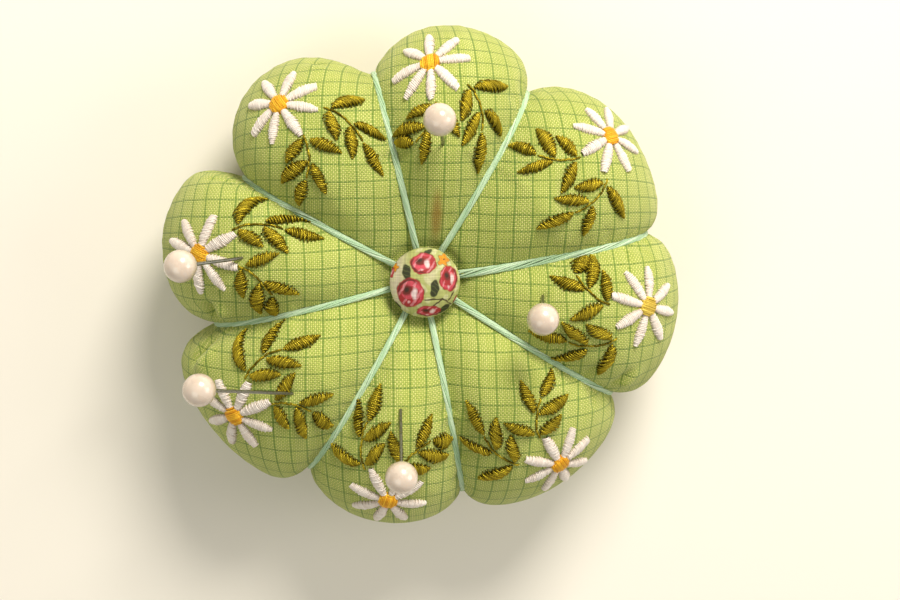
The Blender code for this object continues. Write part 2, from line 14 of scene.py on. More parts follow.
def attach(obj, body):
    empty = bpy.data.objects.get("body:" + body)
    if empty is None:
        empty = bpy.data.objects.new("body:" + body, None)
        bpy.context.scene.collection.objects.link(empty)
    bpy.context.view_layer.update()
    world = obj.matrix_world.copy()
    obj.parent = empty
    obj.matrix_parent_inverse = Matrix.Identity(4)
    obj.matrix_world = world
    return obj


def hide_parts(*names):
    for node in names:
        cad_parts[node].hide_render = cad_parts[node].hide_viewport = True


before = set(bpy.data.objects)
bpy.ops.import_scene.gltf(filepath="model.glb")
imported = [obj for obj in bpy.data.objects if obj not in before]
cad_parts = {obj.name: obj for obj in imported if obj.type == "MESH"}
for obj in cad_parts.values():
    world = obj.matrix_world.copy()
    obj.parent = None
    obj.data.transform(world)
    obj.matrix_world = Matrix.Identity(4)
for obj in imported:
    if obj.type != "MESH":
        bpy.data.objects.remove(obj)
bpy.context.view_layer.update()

MM = 0.001
random = np.random.default_rng(20)

# ---------------------------------------------------------------- driving dimensions, as in the CAD

PETALS = 8
GROOVE_ANGLES = (-32.3, 10.3, 59.8, 103.2, 150.3, 192.5, 239.6, 280.4)
NOTCH_RADII = np.array((44.0, 44.5, 40.6, 39.8, 38.8, 40.6, 43.5, 43.2))
TIP_RADII = np.array((50.6, 48.9, 48.3, 49.0, 49.9, 50.0, 49.3, 49.5))
LOBE_OFFSET = 33.0
LOBE_RADIUS = 16.5
SEAM_Z = 18.2
CREST_RADIUS = 26.0
PETAL_HEIGHT = 19.0
BELLY_HEIGHT = 19.6
GROOVE_HEIGHT = 13.0
SWELL_POWER = 2.5
BUTTON_SEAT_RADIUS = 7.0
BUTTON_SEAT_HEIGHT = 9.5
HOLE_RADIUS = 3.4
HOLE_HEIGHT = 8.8
FLAT_RADIUS = 61.5
FLOSS_RING = 2.3
BUTTON_LIFT = 2.0
BUTTON_COVER_RADIUS = 6.6
BUTTON_DOME = 3.7
PIN_ENTRIES = ((3.0, 26.6), (21.7, -2.3), (-4.9, -23.7), (-25.4, -19.7), (-34.4, 5.5))
PIN_HEADS = (
    (1.7, 31.5, 48.0),
    (20.7, -5.0, 45.4),
    (-5.4, -33.0, 50.0),
    (-41.4, -15.9, 53.0),
    (-44.8, 5.2, 44.5),
)
PIN_LENGTH = 38.0
PIN_RADIUS = 0.325
PIN_IN_HEAD = 1.0
PIN_GRIND = 3.0
PEARL_RADIUS = 3.0
PEARL_MOUTH = 0.19

# Embroidery: each place is the distance along the petal's middle line, then to its left.
DAISY_PLACES = (
    (44.6, 3.6),
    (48.8, 2.4),
    (45.5, 5.6),
    (46.9, 1.6),
    (45.0, 0.4),
    (46.4, -1.2),
    (45.3, 0.1),
    (46.9, 1.8),
)
DAISY_TURNS = (-4.8, -9.4, 7.0, -2.5, -5.9, -11.9, -9.5, -3.8)
DAISY_REACH = 8.2
DAISY_HALF_WIDTH = 1.08
DAISY_PETALS = 8
EYE_RADIUS = 1.5
EYE_POINTS = 7
# Each layer of the centre as (height, size, stitches, thread radius, turn in degrees).
EYE_LAYERS = ((0.75, 1.15, 9, 0.22, 90), (1.1, 1.2, 11, 0.19, 0))
PALE_EYE = 0
STEM_STITCH = 1.1
STEM_LIFTS = (-0.08, 0.2, 0.3, 0.3, 0.2, -0.08)
LEAF_HALF_WIDTH = 1.08
STALK_LIMIT = 0.84
TIP_LIMIT = 0.93
LEAF_TIP = 0.6
SPRIG_PLACES = (
    (44.5, 3.3),
    (48.3, 2.2),
    (45.2, 5.3),
    (46.9, 1.4),
    (45.2, 0.8),
    (46.5, -0.9),
    (45.7, 0.3),
    (46.7, 1.7),
)
SPRIG_TURNS = (2.8, -5.7, 14.2, 2.1, -1.4, -9.9, -4.6, 2.6)
SPRIG_STEMS = {
    "a": ((-5.8, -6.6), (-7.5, -7.8), (-9.7, -8.7), (-12.0, -9.1), (-14.3, -8.8)),
    "b": ((-8.3, 0.2), (-10.1, 0.7), (-11.8, 1.8), (-13.2, 3.3), (-14.2, 5.1)),
}
# Leaves as (stalk end, tip).
SPRIG_LEAVES = {
    "a": (
        ((-6.5, -7.8), (-5.2, -15.2)),
        ((-7.0, -6.8), (-11.9, -4.5)),
        ((-10.9, -9.5), (-14.0, -13.8)),
        ((-11.2, -8.4), (-16.5, -4.6)),
        ((-14.8, -8.6), (-21.7, -7.9)),
    ),
    "b": (
        ((-8.7, 0.8), (-9.0, 6.0)),
        ((-9.6, -0.3), (-14.8, -3.3)),
        ((-12.2, 2.9), (-10.2, 10.0)),
        ((-13.2, 2.3), (-18.7, 4.1)),
        ((-14.3, 5.6), (-14.7, 10.9)),
    ),
}

# ---------------------------------------------------------------- the cloth's shape

# How much fuller each petal is than the CAD's round lobe, in millimetres, beside its first groove and
# beside its second; it is fullest at this share of the half-petal from the groove.
SHOULDERS = ((1.8, 1.2), (1.7, 0.2), (1.8, 0.0), (-1.2, 0.8), (3.8, 1.3), (3.8, 2.6), (0.5, 0.7), (1.4, 1.5))
SHOULDER_PLACE = 0.2


def groove_angle(index):
    """Angle of a groove in degrees, counted on past a full turn."""
    turns, step = divmod(index, PETALS)
    return GROOVE_ANGLES[step] + 360.0 * turns


def direction_of(petal, across):
    """Direction in radians of a place across a petal, which runs from -1 to 1."""
    start, end = groove_angle(petal), groove_angle(petal + 1)
    return math.radians(start + (end - start) * (across + 1) / 2)


def lobe(across):
    """Radius of the plain arc that a petal's rim follows."""
    angle = math.pi / PETALS * across
    return LOBE_OFFSET * math.cos(angle) + math.sqrt(LOBE_RADIUS**2 - (LOBE_OFFSET * math.sin(angle)) ** 2)


def rim_radius(petal, across):
    """Radius of the rim across a petal, with its notches, its tip and its shoulders."""
    notch = NOTCH_RADII[petal] * (1 - across) / 2
    notch += NOTCH_RADII[(petal + 1) % PETALS] * (1 + across) / 2
    share = (lobe(across) - lobe(1)) / (lobe(0) - lobe(1))
    from_groove = (1 - abs(across)) / SHOULDER_PLACE
    fullness = SHOULDERS[petal][1 if across > 0 else 0] * from_groove * math.exp(1 - from_groove)
    return notch + (TIP_RADII[petal] - notch) * share + fullness


def cloth_height(petal, across, radius, below):
    """Height of the cloth's outer side from the seam plane, for an array of radii."""
    full = BELLY_HEIGHT if below else PETAL_HEIGHT
    rise = (full - GROOVE_HEIGHT) * (1 - abs(across) ** SWELL_POWER)
    rim = rim_radius(petal, across)
    outer = np.clip((radius - CREST_RADIUS) / (rim - CREST_RADIUS), 0, 1)
    shoulder = (GROOVE_HEIGHT + rise) * np.sqrt(1 - outer**2)
    inner = np.clip((radius - BUTTON_SEAT_RADIUS) / (CREST_RADIUS - BUTTON_SEAT_RADIUS), 0, 1)
    crest = GROOVE_HEIGHT + rise * radius / CREST_RADIUS
    slope = BUTTON_SEAT_HEIGHT + (crest - BUTTON_SEAT_HEIGHT) * (1 - (1 - inner) ** 2.2) ** 0.75
    seat = HOLE_HEIGHT + (BUTTON_SEAT_HEIGHT - HOLE_HEIGHT) * (radius - HOLE_RADIUS) / (
        BUTTON_SEAT_RADIUS - HOLE_RADIUS
    )
    height = np.where(radius >= CREST_RADIUS, shoulder, np.where(radius >= BUTTON_SEAT_RADIUS, slope, seat))
    return -np.minimum(height, SEAM_Z) if below else height


def meridian(petal, across, below, flat_radii):
    """Radius and height at flat radii, on the line over the cloth from the hole to the rim."""
    rim = rim_radius(petal, across)
    inner = np.linspace(HOLE_RADIUS, CREST_RADIUS, 60)[:-1]
    outer = CREST_RADIUS + (rim - CREST_RADIUS) * np.sin(np.linspace(0, math.pi / 2, 60))
    radii = np.concatenate([inner, outer])
    heights = cloth_height(petal, across, radii, below)
    lengths = np.concatenate([[0], np.cumsum(np.hypot(np.diff(radii), np.diff(heights)))])
    flat = HOLE_RADIUS + lengths * (FLAT_RADIUS - HOLE_RADIUS) / lengths[-1]
    return np.interp(flat_radii, flat, radii), np.interp(flat_radii, flat, heights)


ROWS = 46
PETAL_COLUMNS = 24
COLUMNS = PETALS * PETAL_COLUMNS
FINER = 3


def column_places():
    """Petal and place across it for each column of the grid, closer together near the grooves."""
    for petal in range(PETALS):
        for step in range(PETAL_COLUMNS):
            even = 2 * step / PETAL_COLUMNS - 1
            yield petal, 0.5 * even + 0.5 * math.sin(math.pi / 2 * even)


def cloth_grid(below):
    """Points of one side of the cushion: rows from the hole out to the rim, columns round it."""
    flat_radii = np.linspace(HOLE_RADIUS, FLAT_RADIUS, ROWS)
    grid = np.empty((ROWS, COLUMNS, 3))
    for column, (petal, across) in enumerate(column_places()):
        radius, height = meridian(petal, across, below, flat_radii)
        angle = direction_of(petal, across)
        grid[:, column] = np.column_stack([radius[:, None] * rays(angle), SEAM_Z + height])
    return grid


def unit(vectors):
    """Vectors brought to length one along their last axis."""
    return vectors / np.maximum(np.linalg.norm(vectors, axis=-1, keepdims=True), 1e-9)


def rays(angles):
    """Unit vectors in plan, at an angle or an array of angles in radians."""
    return np.stack([np.cos(angles), np.sin(angles)], axis=-1)


def spun(points, angle):
    """Points in plan, turned about the origin by an angle in radians."""
    ray = rays(angle)
    return np.asarray(points) @ np.array([ray, (-ray[1], ray[0])])


def eased(share):
    """A share from 0 to 1 that starts and ends slowly."""
    share = np.clip(share, 0, 1)
    return share * share * (3 - 2 * share)


def beside(ahead):
    """The direction to the left of one in plan."""
    return np.array([-ahead[1], ahead[0]])


def grid_normals(grid, below):
    """Unit normals out of the cushion."""
    out = np.gradient(grid, axis=0)
    around = np.roll(grid, -1, axis=1) - np.roll(grid, 1, axis=1)
    return unit(np.cross(out, around)) * (-1 if below else 1)


def refine(grid, times):
    """The grid with more rows and columns, on Catmull-Rom curves through the old ones."""

    def between(before, start, end, after, share):
        cube = -before + 3 * start - 3 * end + after
        square = 2 * before - 5 * start + 4 * end - after
        return 0.5 * (2 * start + (end - before) * share + square * share**2 + cube * share**3)

    shares = np.arange(times) / times
    padded = np.concatenate([2 * grid[:1] - grid[1:2], grid, 2 * grid[-1:] - grid[-2:-1]])
    rows = [between(padded[:-3], padded[1:-2], padded[2:-1], padded[3:], share) for share in shares]
    tall = np.stack(rows, axis=1).reshape(-1, *grid.shape[1:])
    tall = np.concatenate([tall, grid[-1:]])
    shifted = [np.roll(tall, 1 - step, axis=1) for step in range(4)]
    columns = [between(*shifted, share) for share in shares]
    return np.stack(columns, axis=2).reshape(tall.shape[0], -1, grid.shape[2])


# ---------------------------------------------------------------- cloth simulation

SIM_SCALE = 0.01
SIM_FRAMES = 24
START_INSET = 0.35
MOST_MOVED = 1.3
# How hard the cloth is held at the seam, how far out from the middle it's held all round, and the radii
# between which the swelling is smoothed less and less.
SEAM_HOLD = 0.35
HELD_RADIUS = 9.0
CALM_RADII = (18.0, 30.0)
CALM_ROUNDS = 10
COTTON_CLOTH = {
    "quality": 6,
    "mass": 0.3,
    "tension_stiffness": 25,
    "compression_stiffness": 12,
    "shear_stiffness": 6,
    "bending_stiffness": 0.4,
    "air_damping": 2.0,
    "shrink_min": -0.012,
    "use_pressure": True,
    "uniform_pressure_force": 4.0,
    "vertex_group_mass": "held",
}


def grid_faces(rows, columns, flipped=False):
    """Quads of a grid that closes on itself from the last column to the first."""
    row, column = np.meshgrid(np.arange(rows - 1), np.arange(columns), indexing="ij")
    following = (column + 1) % columns
    corners = [row * columns + column, (row + 1) * columns + column]
    corners += [(row + 1) * columns + following, row * columns + following]
    faces = np.stack(corners, axis=-1).reshape(-1, 4)
    return faces[:, ::-1] if flipped else faces


def inflate(top, bottom):
    """Both sides blown up as one skin that the floss holds down along the grooves."""
    inset_top = top - grid_normals(top, False) * START_INSET
    inset_bottom = bottom - grid_normals(bottom, True) * START_INSET
    points = np.concatenate([inset_top, inset_bottom[-2::-1]]).reshape(-1, 3)
    faces = grid_faces(2 * ROWS - 1, COLUMNS)
    mesh = bpy.data.meshes.new("skin")
    mesh.from_pydata((points * SIM_SCALE).tolist(), [], faces.tolist())
    skin = bpy.data.objects.new("skin", mesh)
    bpy.context.scene.collection.objects.link(skin)

    held = skin.vertex_groups.new(name="held")
    row, column = np.divmod(np.arange(len(points)), COLUMNS)
    side_row = np.minimum(row, 2 * ROWS - 2 - row)
    flat_radius = HOLE_RADIUS + side_row * (FLAT_RADIUS - HOLE_RADIUS) / (ROWS - 1)
    on_groove = column % PETAL_COLUMNS == 0
    loose = np.where(side_row == ROWS - 1, SEAM_HOLD, 0.0)
    weights = np.where(on_groove | (flat_radius < HELD_RADIUS), 1.0, loose)
    for weight in (1.0, SEAM_HOLD):
        held.add(np.flatnonzero(weights == weight).tolist(), weight, "REPLACE")

    cloth = skin.modifiers.new("cloth", "CLOTH")
    for setting, value in COTTON_CLOTH.items():
        setattr(cloth.settings, setting, value)
    cloth.settings.effector_weights.gravity = 0
    cloth.point_cache.frame_end = SIM_FRAMES
    for moment in range(1, SIM_FRAMES + 1):
        bpy.context.scene.frame_set(moment)
    graph = bpy.context.evaluated_depsgraph_get()
    swollen = np.empty(len(points) * 3)
    skin.evaluated_get(graph).data.vertices.foreach_get("co", swollen)
    bpy.data.objects.remove(skin, do_unlink=True)
    bpy.context.scene.frame_set(1)

    swollen = (swollen.reshape(-1, 3) / SIM_SCALE).reshape(2 * ROWS - 1, COLUMNS, 3)
    sides = []
    inner, outer = CALM_RADII
    distances = np.linspace(HOLE_RADIUS, FLAT_RADIUS, ROWS)
    calm = np.clip((outer - distances) / (outer - inner), 0, 1)[:, None, None]
    for before, after in ((top, swollen[:ROWS]), (bottom, swollen[ROWS - 1 :][::-1])):
        moved = after - before
        for _ in range(CALM_ROUNDS):
            ahead = np.concatenate([moved[1:], moved[-1:]])
            behind = np.concatenate([moved[:1], moved[:-1]])
            either_side = np.roll(moved, 1, axis=1) + np.roll(moved, -1, axis=1)
            moved = moved * (1 - calm) + (ahead + behind + either_side) / 4 * calm
        far = np.linalg.norm(moved, axis=2, keepdims=True)
        sides.append(before + moved * np.minimum(1, MOST_MOVED / np.maximum(far, 1e-9)))
    return sides


# ---------------------------------------------------------------- cloth with its small folds

# Folds in the upper side, as (start, end, depth, width) on the flat cloth; the raised lip lies to the
# left of the way from start to end.
FOLDS = (
    ((-45.0, -2.4), (-49.5, -12.0), 1.6, 1.0),
    ((-46.8, -10.6), (-50.5, -19.5), 1.1, 1.2),
    ((42.8, -17.2), (41.4, -26.6), 0.95, 1.0),
    ((30.5, 44.0), (34.0, 51.0), 0.45, 1.1),
    ((-20.5, 50.0), (-27.0, 49.5), 0.4, 1.0),
)

# The weave lies straight as seen from above inside the first radius, and hangs with the cloth's own
# length outside the second.
DRAPE_START = 27.0
DRAPE_END = 38.0

# A faint brown mark beside the first pin, as a place and half sizes seen from above.
BROWN_MARK_PLACE = (2.2, 12.6)
BROWN_MARK_SIZE = (1.1, 4.6)

# How the lower panel's checks lie against the upper panel's, in degrees and millimetres.
LOWER_TURN = 27.0
LOWER_SHIFT = 1.3


class Cloth:
    """One finished side of the cushion: a fine grid of points, normals and places on the flat cloth."""

    def __init__(self, grid, below):
        self.below = below
        self.points = refine(grid, FINER)
        self.rows, self.columns = self.points.shape[:2]
        self.distances = np.linspace(HOLE_RADIUS, FLAT_RADIUS, self.rows)
        places = list(column_places())
        angles = np.array([direction_of(petal, across) for petal, across in places])
        steps = np.arange(self.columns) / FINER
        self.angles = np.interp(steps, np.arange(COLUMNS + 1), np.append(angles, angles[0] + 2 * math.pi))
        self.normals = grid_normals(self.points, below)

    def groove_distance(self):
        """Distance from each point to the nearest groove, round the cushion, and that groove."""
        grooves = np.radians([groove_angle(index) for index in range(PETALS + 1)])
        apart = np.abs(self.angles[:, None] - grooves[None])
        nearest = apart.argmin(axis=1)
        radius = np.hypot(self.points[..., 0], self.points[..., 1])
        return radius * apart.min(axis=1)[None], nearest % PETALS

    def push(self, amount):
        """Moves each point along its normal."""
        self.points = self.points + self.normals * amount[..., None]

    def pucker(self):
        """The small creases that the floss and the seam draw into the cloth."""
        away, groove = self.groove_distance()
        side = 1.0 if self.below else 0.0
        distance = self.distances[:, None]
        phase = groove[None] * 2.1 + side
        wave = np.sin(distance * 2 * math.pi / 4.6 + phase + np.sin(distance * 0.9 + 2 * phase))
        wave += 0.4 * np.sin(distance * 2 * math.pi / 2.7 + 3 * phase + away * 0.7)
        near_floss = np.exp(-((away / 2.6) ** 1.5)) * np.clip((distance - 9) / 5, 0, 1)
        self.push(0.06 * wave * near_floss)
        around = self.angles[None] * 46.0
        seam_wave = np.sin(around * 2 * math.pi / 2.7 + side) + 0.6 * np.sin(around * 2 * math.pi / 4.3)
        near_seam = np.exp(-(((FLAT_RADIUS - distance) / 2.2) ** 1.3))
        furrow = np.exp(-(((FLAT_RADIUS - distance) / 0.9) ** 2))
        self.push(0.06 * seam_wave * near_seam - 0.22 * furrow)
        slow = np.sin(self.angles[None] * 13 + distance * 0.21)
        slow = slow * np.sin(distance * 0.33 + self.angles[None] * 9)
        self.push(0.05 * slow * np.clip((distance - 10) / 10, 0, 1) * np.clip(away / 4, 0, 1))

    def dent(self, places, depth, reach):
        """Shallow round dents at points given in plan."""
        for x, y in places:
            apart = np.hypot(self.points[..., 0] - x, self.points[..., 1] - y)
            self.push(-depth * np.exp(-((apart / reach) ** 2)))

    def crease(self, start, end, depth, width):
        """A fold between two places on the flat cloth, pressed in and with a soft lip beside it."""
        flat = self.flat_places()
        start, end = np.array(start), np.array(end)
        length = math.dist(start, end)
        ahead = (end - start) / length
        along = (flat - start) @ ahead / length
        across = (flat - start) @ beside(ahead)
        ends = eased(np.clip(along * 2.5, 0, 1) * np.clip((1 - along) * 2.5, 0, 1))
        lip = 0.7 * np.exp(-(((across - 2 * width) / (1.6 * width)) ** 2))
        fold = lip - np.exp(-((across / width) ** 2))
        away, _ = self.groove_distance()
        self.push(depth * fold * ends * np.clip((away - 0.8) / 2.5, 0, 1))

    def flat_places(self):
        """Where each point lies on the flat cloth."""
        return self.distances[:, None, None] * rays(self.angles)[None]

    def cut_places(self):
        """Where each point lies on the cut cloth: as seen from above, and by length down the sides."""
        radius = np.hypot(self.points[..., 0], self.points[..., 1])
        across = np.diff(radius, axis=0)
        along = np.linalg.norm(np.diff(self.points, axis=0), axis=2)
        share = (radius[1:] - DRAPE_START) / (DRAPE_END - DRAPE_START)
        steps = across + (along - across) * eased(share)
        distance = np.concatenate([radius[:1], radius[:1] + np.cumsum(steps, axis=0)])
        turned = self.angles + (math.radians(LOWER_TURN) if self.below else 0.0)
        return distance[..., None] * rays(turned)[None] + (LOWER_SHIFT if self.below else 0.0)

    def settle(self):
        """Keeps the cloth on the floor and works out its normals."""
        if self.below:
            self.points[..., 2] = np.maximum(self.points[..., 2], 0.03)
        else:
            self.points[..., 2] = np.maximum(self.points[..., 2], SEAM_Z - 0.6)
        self.normals = grid_normals(self.points, self.below)

    def place(self, flat, lift):
        """Points a lift above the cloth where flat places lie, and the normals there."""
        distance = np.hypot(flat[..., 0], flat[..., 1])
        angle = (np.arctan2(flat[..., 1], flat[..., 0]) - self.angles[0]) % (2 * math.pi) + self.angles[0]
        row = (distance - HOLE_RADIUS) / (FLAT_RADIUS - HOLE_RADIUS) * (self.rows - 1)
        row = np.clip(row, 0, self.rows - 1.001)
        known = np.append(self.angles, self.angles[0] + 2 * math.pi)
        column = np.clip(np.interp(angle, known, np.arange(self.columns + 1)), 0, self.columns - 1e-6)
        low, left = row.astype(int), column.astype(int)
        right = (left + 1) % self.columns
        up, over = (row - low)[..., None], (column - left)[..., None]

        def blend(values):
            near = values[low, left] * (1 - over) + values[low, right] * over
            far = values[low + 1, left] * (1 - over) + values[low + 1, right] * over
            return near * (1 - up) + far * up

        normals = unit(blend(self.normals))
        return blend(self.points) + normals * np.asarray(lift)[..., None], normals


# ---------------------------------------------------------------- meshes and pieces


def new_piece(name, points, faces, material, body="cushion", smooth=True):
    """A mesh object from points in millimetres, riding on a body."""
    mesh = bpy.data.meshes.new(name)
    mesh.from_pydata((np.asarray(points).reshape(-1, 3) * MM).tolist(), [], [list(face) for face in faces])
    mesh.polygons.foreach_set("use_smooth", [smooth] * len(mesh.polygons))
    mesh.materials.append(material)
    mesh.update()
    piece = bpy.data.objects.new(name, mesh)
    bpy.context.scene.collection.objects.link(piece)
    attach(piece, body)
    return piece


def set_flat_uv(piece, flat):
    """Stores each point's place on the flat cloth, in millimetres, as the UV map."""
    corners = np.empty(len(piece.data.loops), int)
    piece.data.loops.foreach_get("vertex_index", corners)
    layer = piece.data.uv_layers.new(name="flat")
    layer.data.foreach_set("uv", np.asarray(flat).reshape(-1, 2)[corners].ravel())


def set_vectors(piece, name, vectors):
    """Keeps one vector for each point of a piece, for its material to read."""
    attribute = piece.data.attributes.new(name, "FLOAT_VECTOR", "POINT")
    attribute.data.foreach_set("vector", np.asarray(vectors, float).ravel())


def set_values(piece, name, values):
    """Keeps one number for each point of a piece, for its material to read."""
    attribute = piece.data.attributes.new(name, "FLOAT", "POINT")
    attribute.data.foreach_set("value", np.asarray(values, float).ravel())


class ThreadWork:
    """Gathers threads of any number of points and makes one mesh of them."""

    def __init__(self, sides=6):
        self.sides = sides
        self.points, self.faces, self.coordinates, self.tints = [], [], [], []
        self.count = 0

    def add(self, centres, normals, radii, tints, flatness=0.8, twist=0.0):
        """Threads as (thread, point, axis) centres, with the cloth's normals and (thread, point) radii.

        A tint is given for each thread, or for each point of each thread."""
        threads, length = centres.shape[:2]
        ahead = unit(np.gradient(centres, axis=1))
        right = unit(np.cross(ahead, normals))
        above = np.cross(right, ahead)
        turn = 2 * math.pi * np.arange(self.sides) / self.sides
        spoke = np.cos(turn)[:, None] * right[:, :, None]
        spoke = spoke + flatness * np.sin(turn)[:, None] * above[:, :, None]
        points = centres[:, :, None] + spoke * radii[..., None, None]
        steps = np.linalg.norm(np.diff(centres, axis=1), axis=2)
        run = np.concatenate([np.zeros((threads, 1)), np.cumsum(steps, axis=1)], axis=1)
        run = run + random.uniform(0, 50, (threads, 1))
        angle = turn[None, None] + run[..., None] * twist
        along = np.broadcast_to(run[..., None], angle.shape)
        self.coordinates.append(np.stack([along, np.cos(angle), np.sin(angle)], axis=-1).reshape(-1, 3))
        self.tints.append(np.broadcast_to(tints.reshape(threads, -1, 1), points.shape[:3]).ravel())
        self.points.append(points.reshape(-1, 3))

        thread, ring, side = np.meshgrid(
            np.arange(threads), np.arange(length - 1), np.arange(self.sides), indexing="ij"
        )
        start = self.count + (thread * length + ring) * self.sides
        beyond = start + (side + 1) % self.sides
        quads = [start + side, beyond, self.sides + beyond, start + self.sides + side]
        self.faces += np.stack(quads, -1).reshape(-1, 4).tolist()
        ends = self.count + np.arange(threads)[:, None] * length * self.sides + np.arange(self.sides)[None]
        self.faces += ends[:, ::-1].tolist()
        self.faces += (ends + (length - 1) * self.sides).tolist()
        self.count += threads * length * self.sides

    def make(self, name, material, body="cushion"):
        piece = new_piece(name, np.concatenate(self.points), self.faces, material, body)
        set_vectors(piece, "thread", np.concatenate(self.coordinates))
        set_values(piece, "tint", np.concatenate(self.tints))
        return piece


# ---------------------------------------------------------------- materials


def paint(red, green, blue):
    """A colour given as it shows on a screen, 0 to 255."""

    def linear(value):
        value = value / 255
        return value / 12.92 if value <= 0.04045 else ((value + 0.055) / 1.055) ** 2.4

    return (linear(red), linear(green), linear(blue), 1.0)


class Shader:
    """Builds one material's nodes."""

    def __init__(self, name, **constants):
        self.material = bpy.data.materials.new(name)
        self.material.use_nodes = True
        self.tree = self.material.node_tree
        self.tree.nodes.clear()
        output = self.tree.nodes.new("ShaderNodeOutputMaterial")
        self.surface = self.tree.nodes.new("ShaderNodeBsdfPrincipled")
        self.tree.links.new(self.surface.outputs["BSDF"], output.inputs["Surface"])
        for socket, value in constants.items():
            self.surface.inputs[socket.replace("_", " ")].default_value = value

    def feed(self, socket, value):
        if isinstance(value, bpy.types.NodeSocket):
            self.tree.links.new(value, socket)
        else:
            socket.default_value = value

    def node(self, kind, output, inputs, **settings):
        """Adds a node with its settings and inputs, and returns one of its outputs."""
        node = self.tree.nodes.new("ShaderNode" + kind)
        for setting, value in settings.items():
            setattr(node, setting, value)
        for socket, value in inputs.items():
            self.feed(node.inputs[socket], value)
        return node.outputs[output]

    def set(self, socket, value):
        self.feed(self.surface.inputs[socket], value)

    def math(self, operation, *values):
        return self.node("Math", 0, dict(enumerate(values)), operation=operation)

    def vector(self, operation, first, second):
        return self.node("VectorMath", 0, {0: first, 1: second}, operation=operation)

    def mix(self, factor, low, high):
        return self.node("Mix", 2, {0: factor, 6: low, 7: high}, data_type="RGBA")

    def span(self, value, from_low, from_high, to_low, to_high):
        """The value moved from one range to another."""
        return self.node("MapRange", 0, dict(enumerate((value, from_low, from_high, to_low, to_high))))

    def noise(self, where, scale, detail=2.0, roughness=0.5, output="Fac"):
        inputs = {"Vector": where, "Scale": scale, "Detail": detail, "Roughness": roughness}
        return self.node("TexNoise", output, inputs)

    def white(self, value, seed):
        """A random number for each whole value."""
        place = self.node("CombineXYZ", 0, {0: value, 1: seed, 2: 0.0})
        return self.node("TexWhiteNoise", "Value", {"Vector": place}, noise_dimensions="2D")

    def attribute(self, name, output="Fac"):
        return self.node("Attribute", output, {}, attribute_name=name)

    def flat_place(self):
        return self.node("UVMap", 0, {}, uv_map="flat")

    def own_place(self):
        return self.node("TexCoord", "Object", {})

    def bump(self, height, distance, strength=1.0):
        """Bump from a height between 0 and 1, its whole step being a distance in metres."""
        inputs = {"Strength": strength, "Distance": distance, "Height": height}
        self.set("Normal", self.node("Bump", 0, inputs))


THREAD_PITCH = 0.36
PRINT_PITCH = 0.22
CHECK_THREADS = 9


def weave(shader, where, pitch):
    """Plain weave: its height, whether the warp is on top, each thread's number and the place across it.

    The threads wander a little from their straight lines."""
    spread = shader.vector("SUBTRACT", shader.noise(where, 0.14, 1.0, output="Color"), (0.5, 0.5, 0.5))
    where = shader.vector("ADD", where, shader.vector("MULTIPLY", spread, (0.5, 0.5, 0.0)))
    across_u = shader.math("DIVIDE", shader.node("SeparateXYZ", 0, {0: where}), pitch)
    across_v = shader.math("DIVIDE", shader.node("SeparateXYZ", 1, {0: where}), pitch)
    warp_number = shader.math("FLOOR", across_u)
    weft_number = shader.math("FLOOR", across_v)
    sum_of_both = shader.math("ADD", warp_number, weft_number)
    sign = shader.math("MULTIPLY_ADD", shader.math("FLOORED_MODULO", sum_of_both, 2.0), 2.0, -1.0)
    round_u = shader.math("ABSOLUTE", shader.math("SINE", shader.math("MULTIPLY", across_u, math.pi)))
    round_v = shader.math("ABSOLUTE", shader.math("SINE", shader.math("MULTIPLY", across_v, math.pi)))
    lift_warp = shader.math("MULTIPLY_ADD", shader.math("MULTIPLY", sign, round_v), 0.45, 0.55)
    lift_weft = shader.math("MULTIPLY_ADD", shader.math("MULTIPLY", sign, round_u), -0.45, 0.55)
    warp = shader.math("MULTIPLY", shader.math("SQRT", round_u), lift_warp)
    weft = shader.math("MULTIPLY", shader.math("SQRT", round_v), lift_weft)
    height = shader.math("MAXIMUM", warp, weft)
    warp_on_top = shader.math("GREATER_THAN", warp, weft)
    return height, warp_on_top, (warp_number, weft_number), (across_u, across_v)


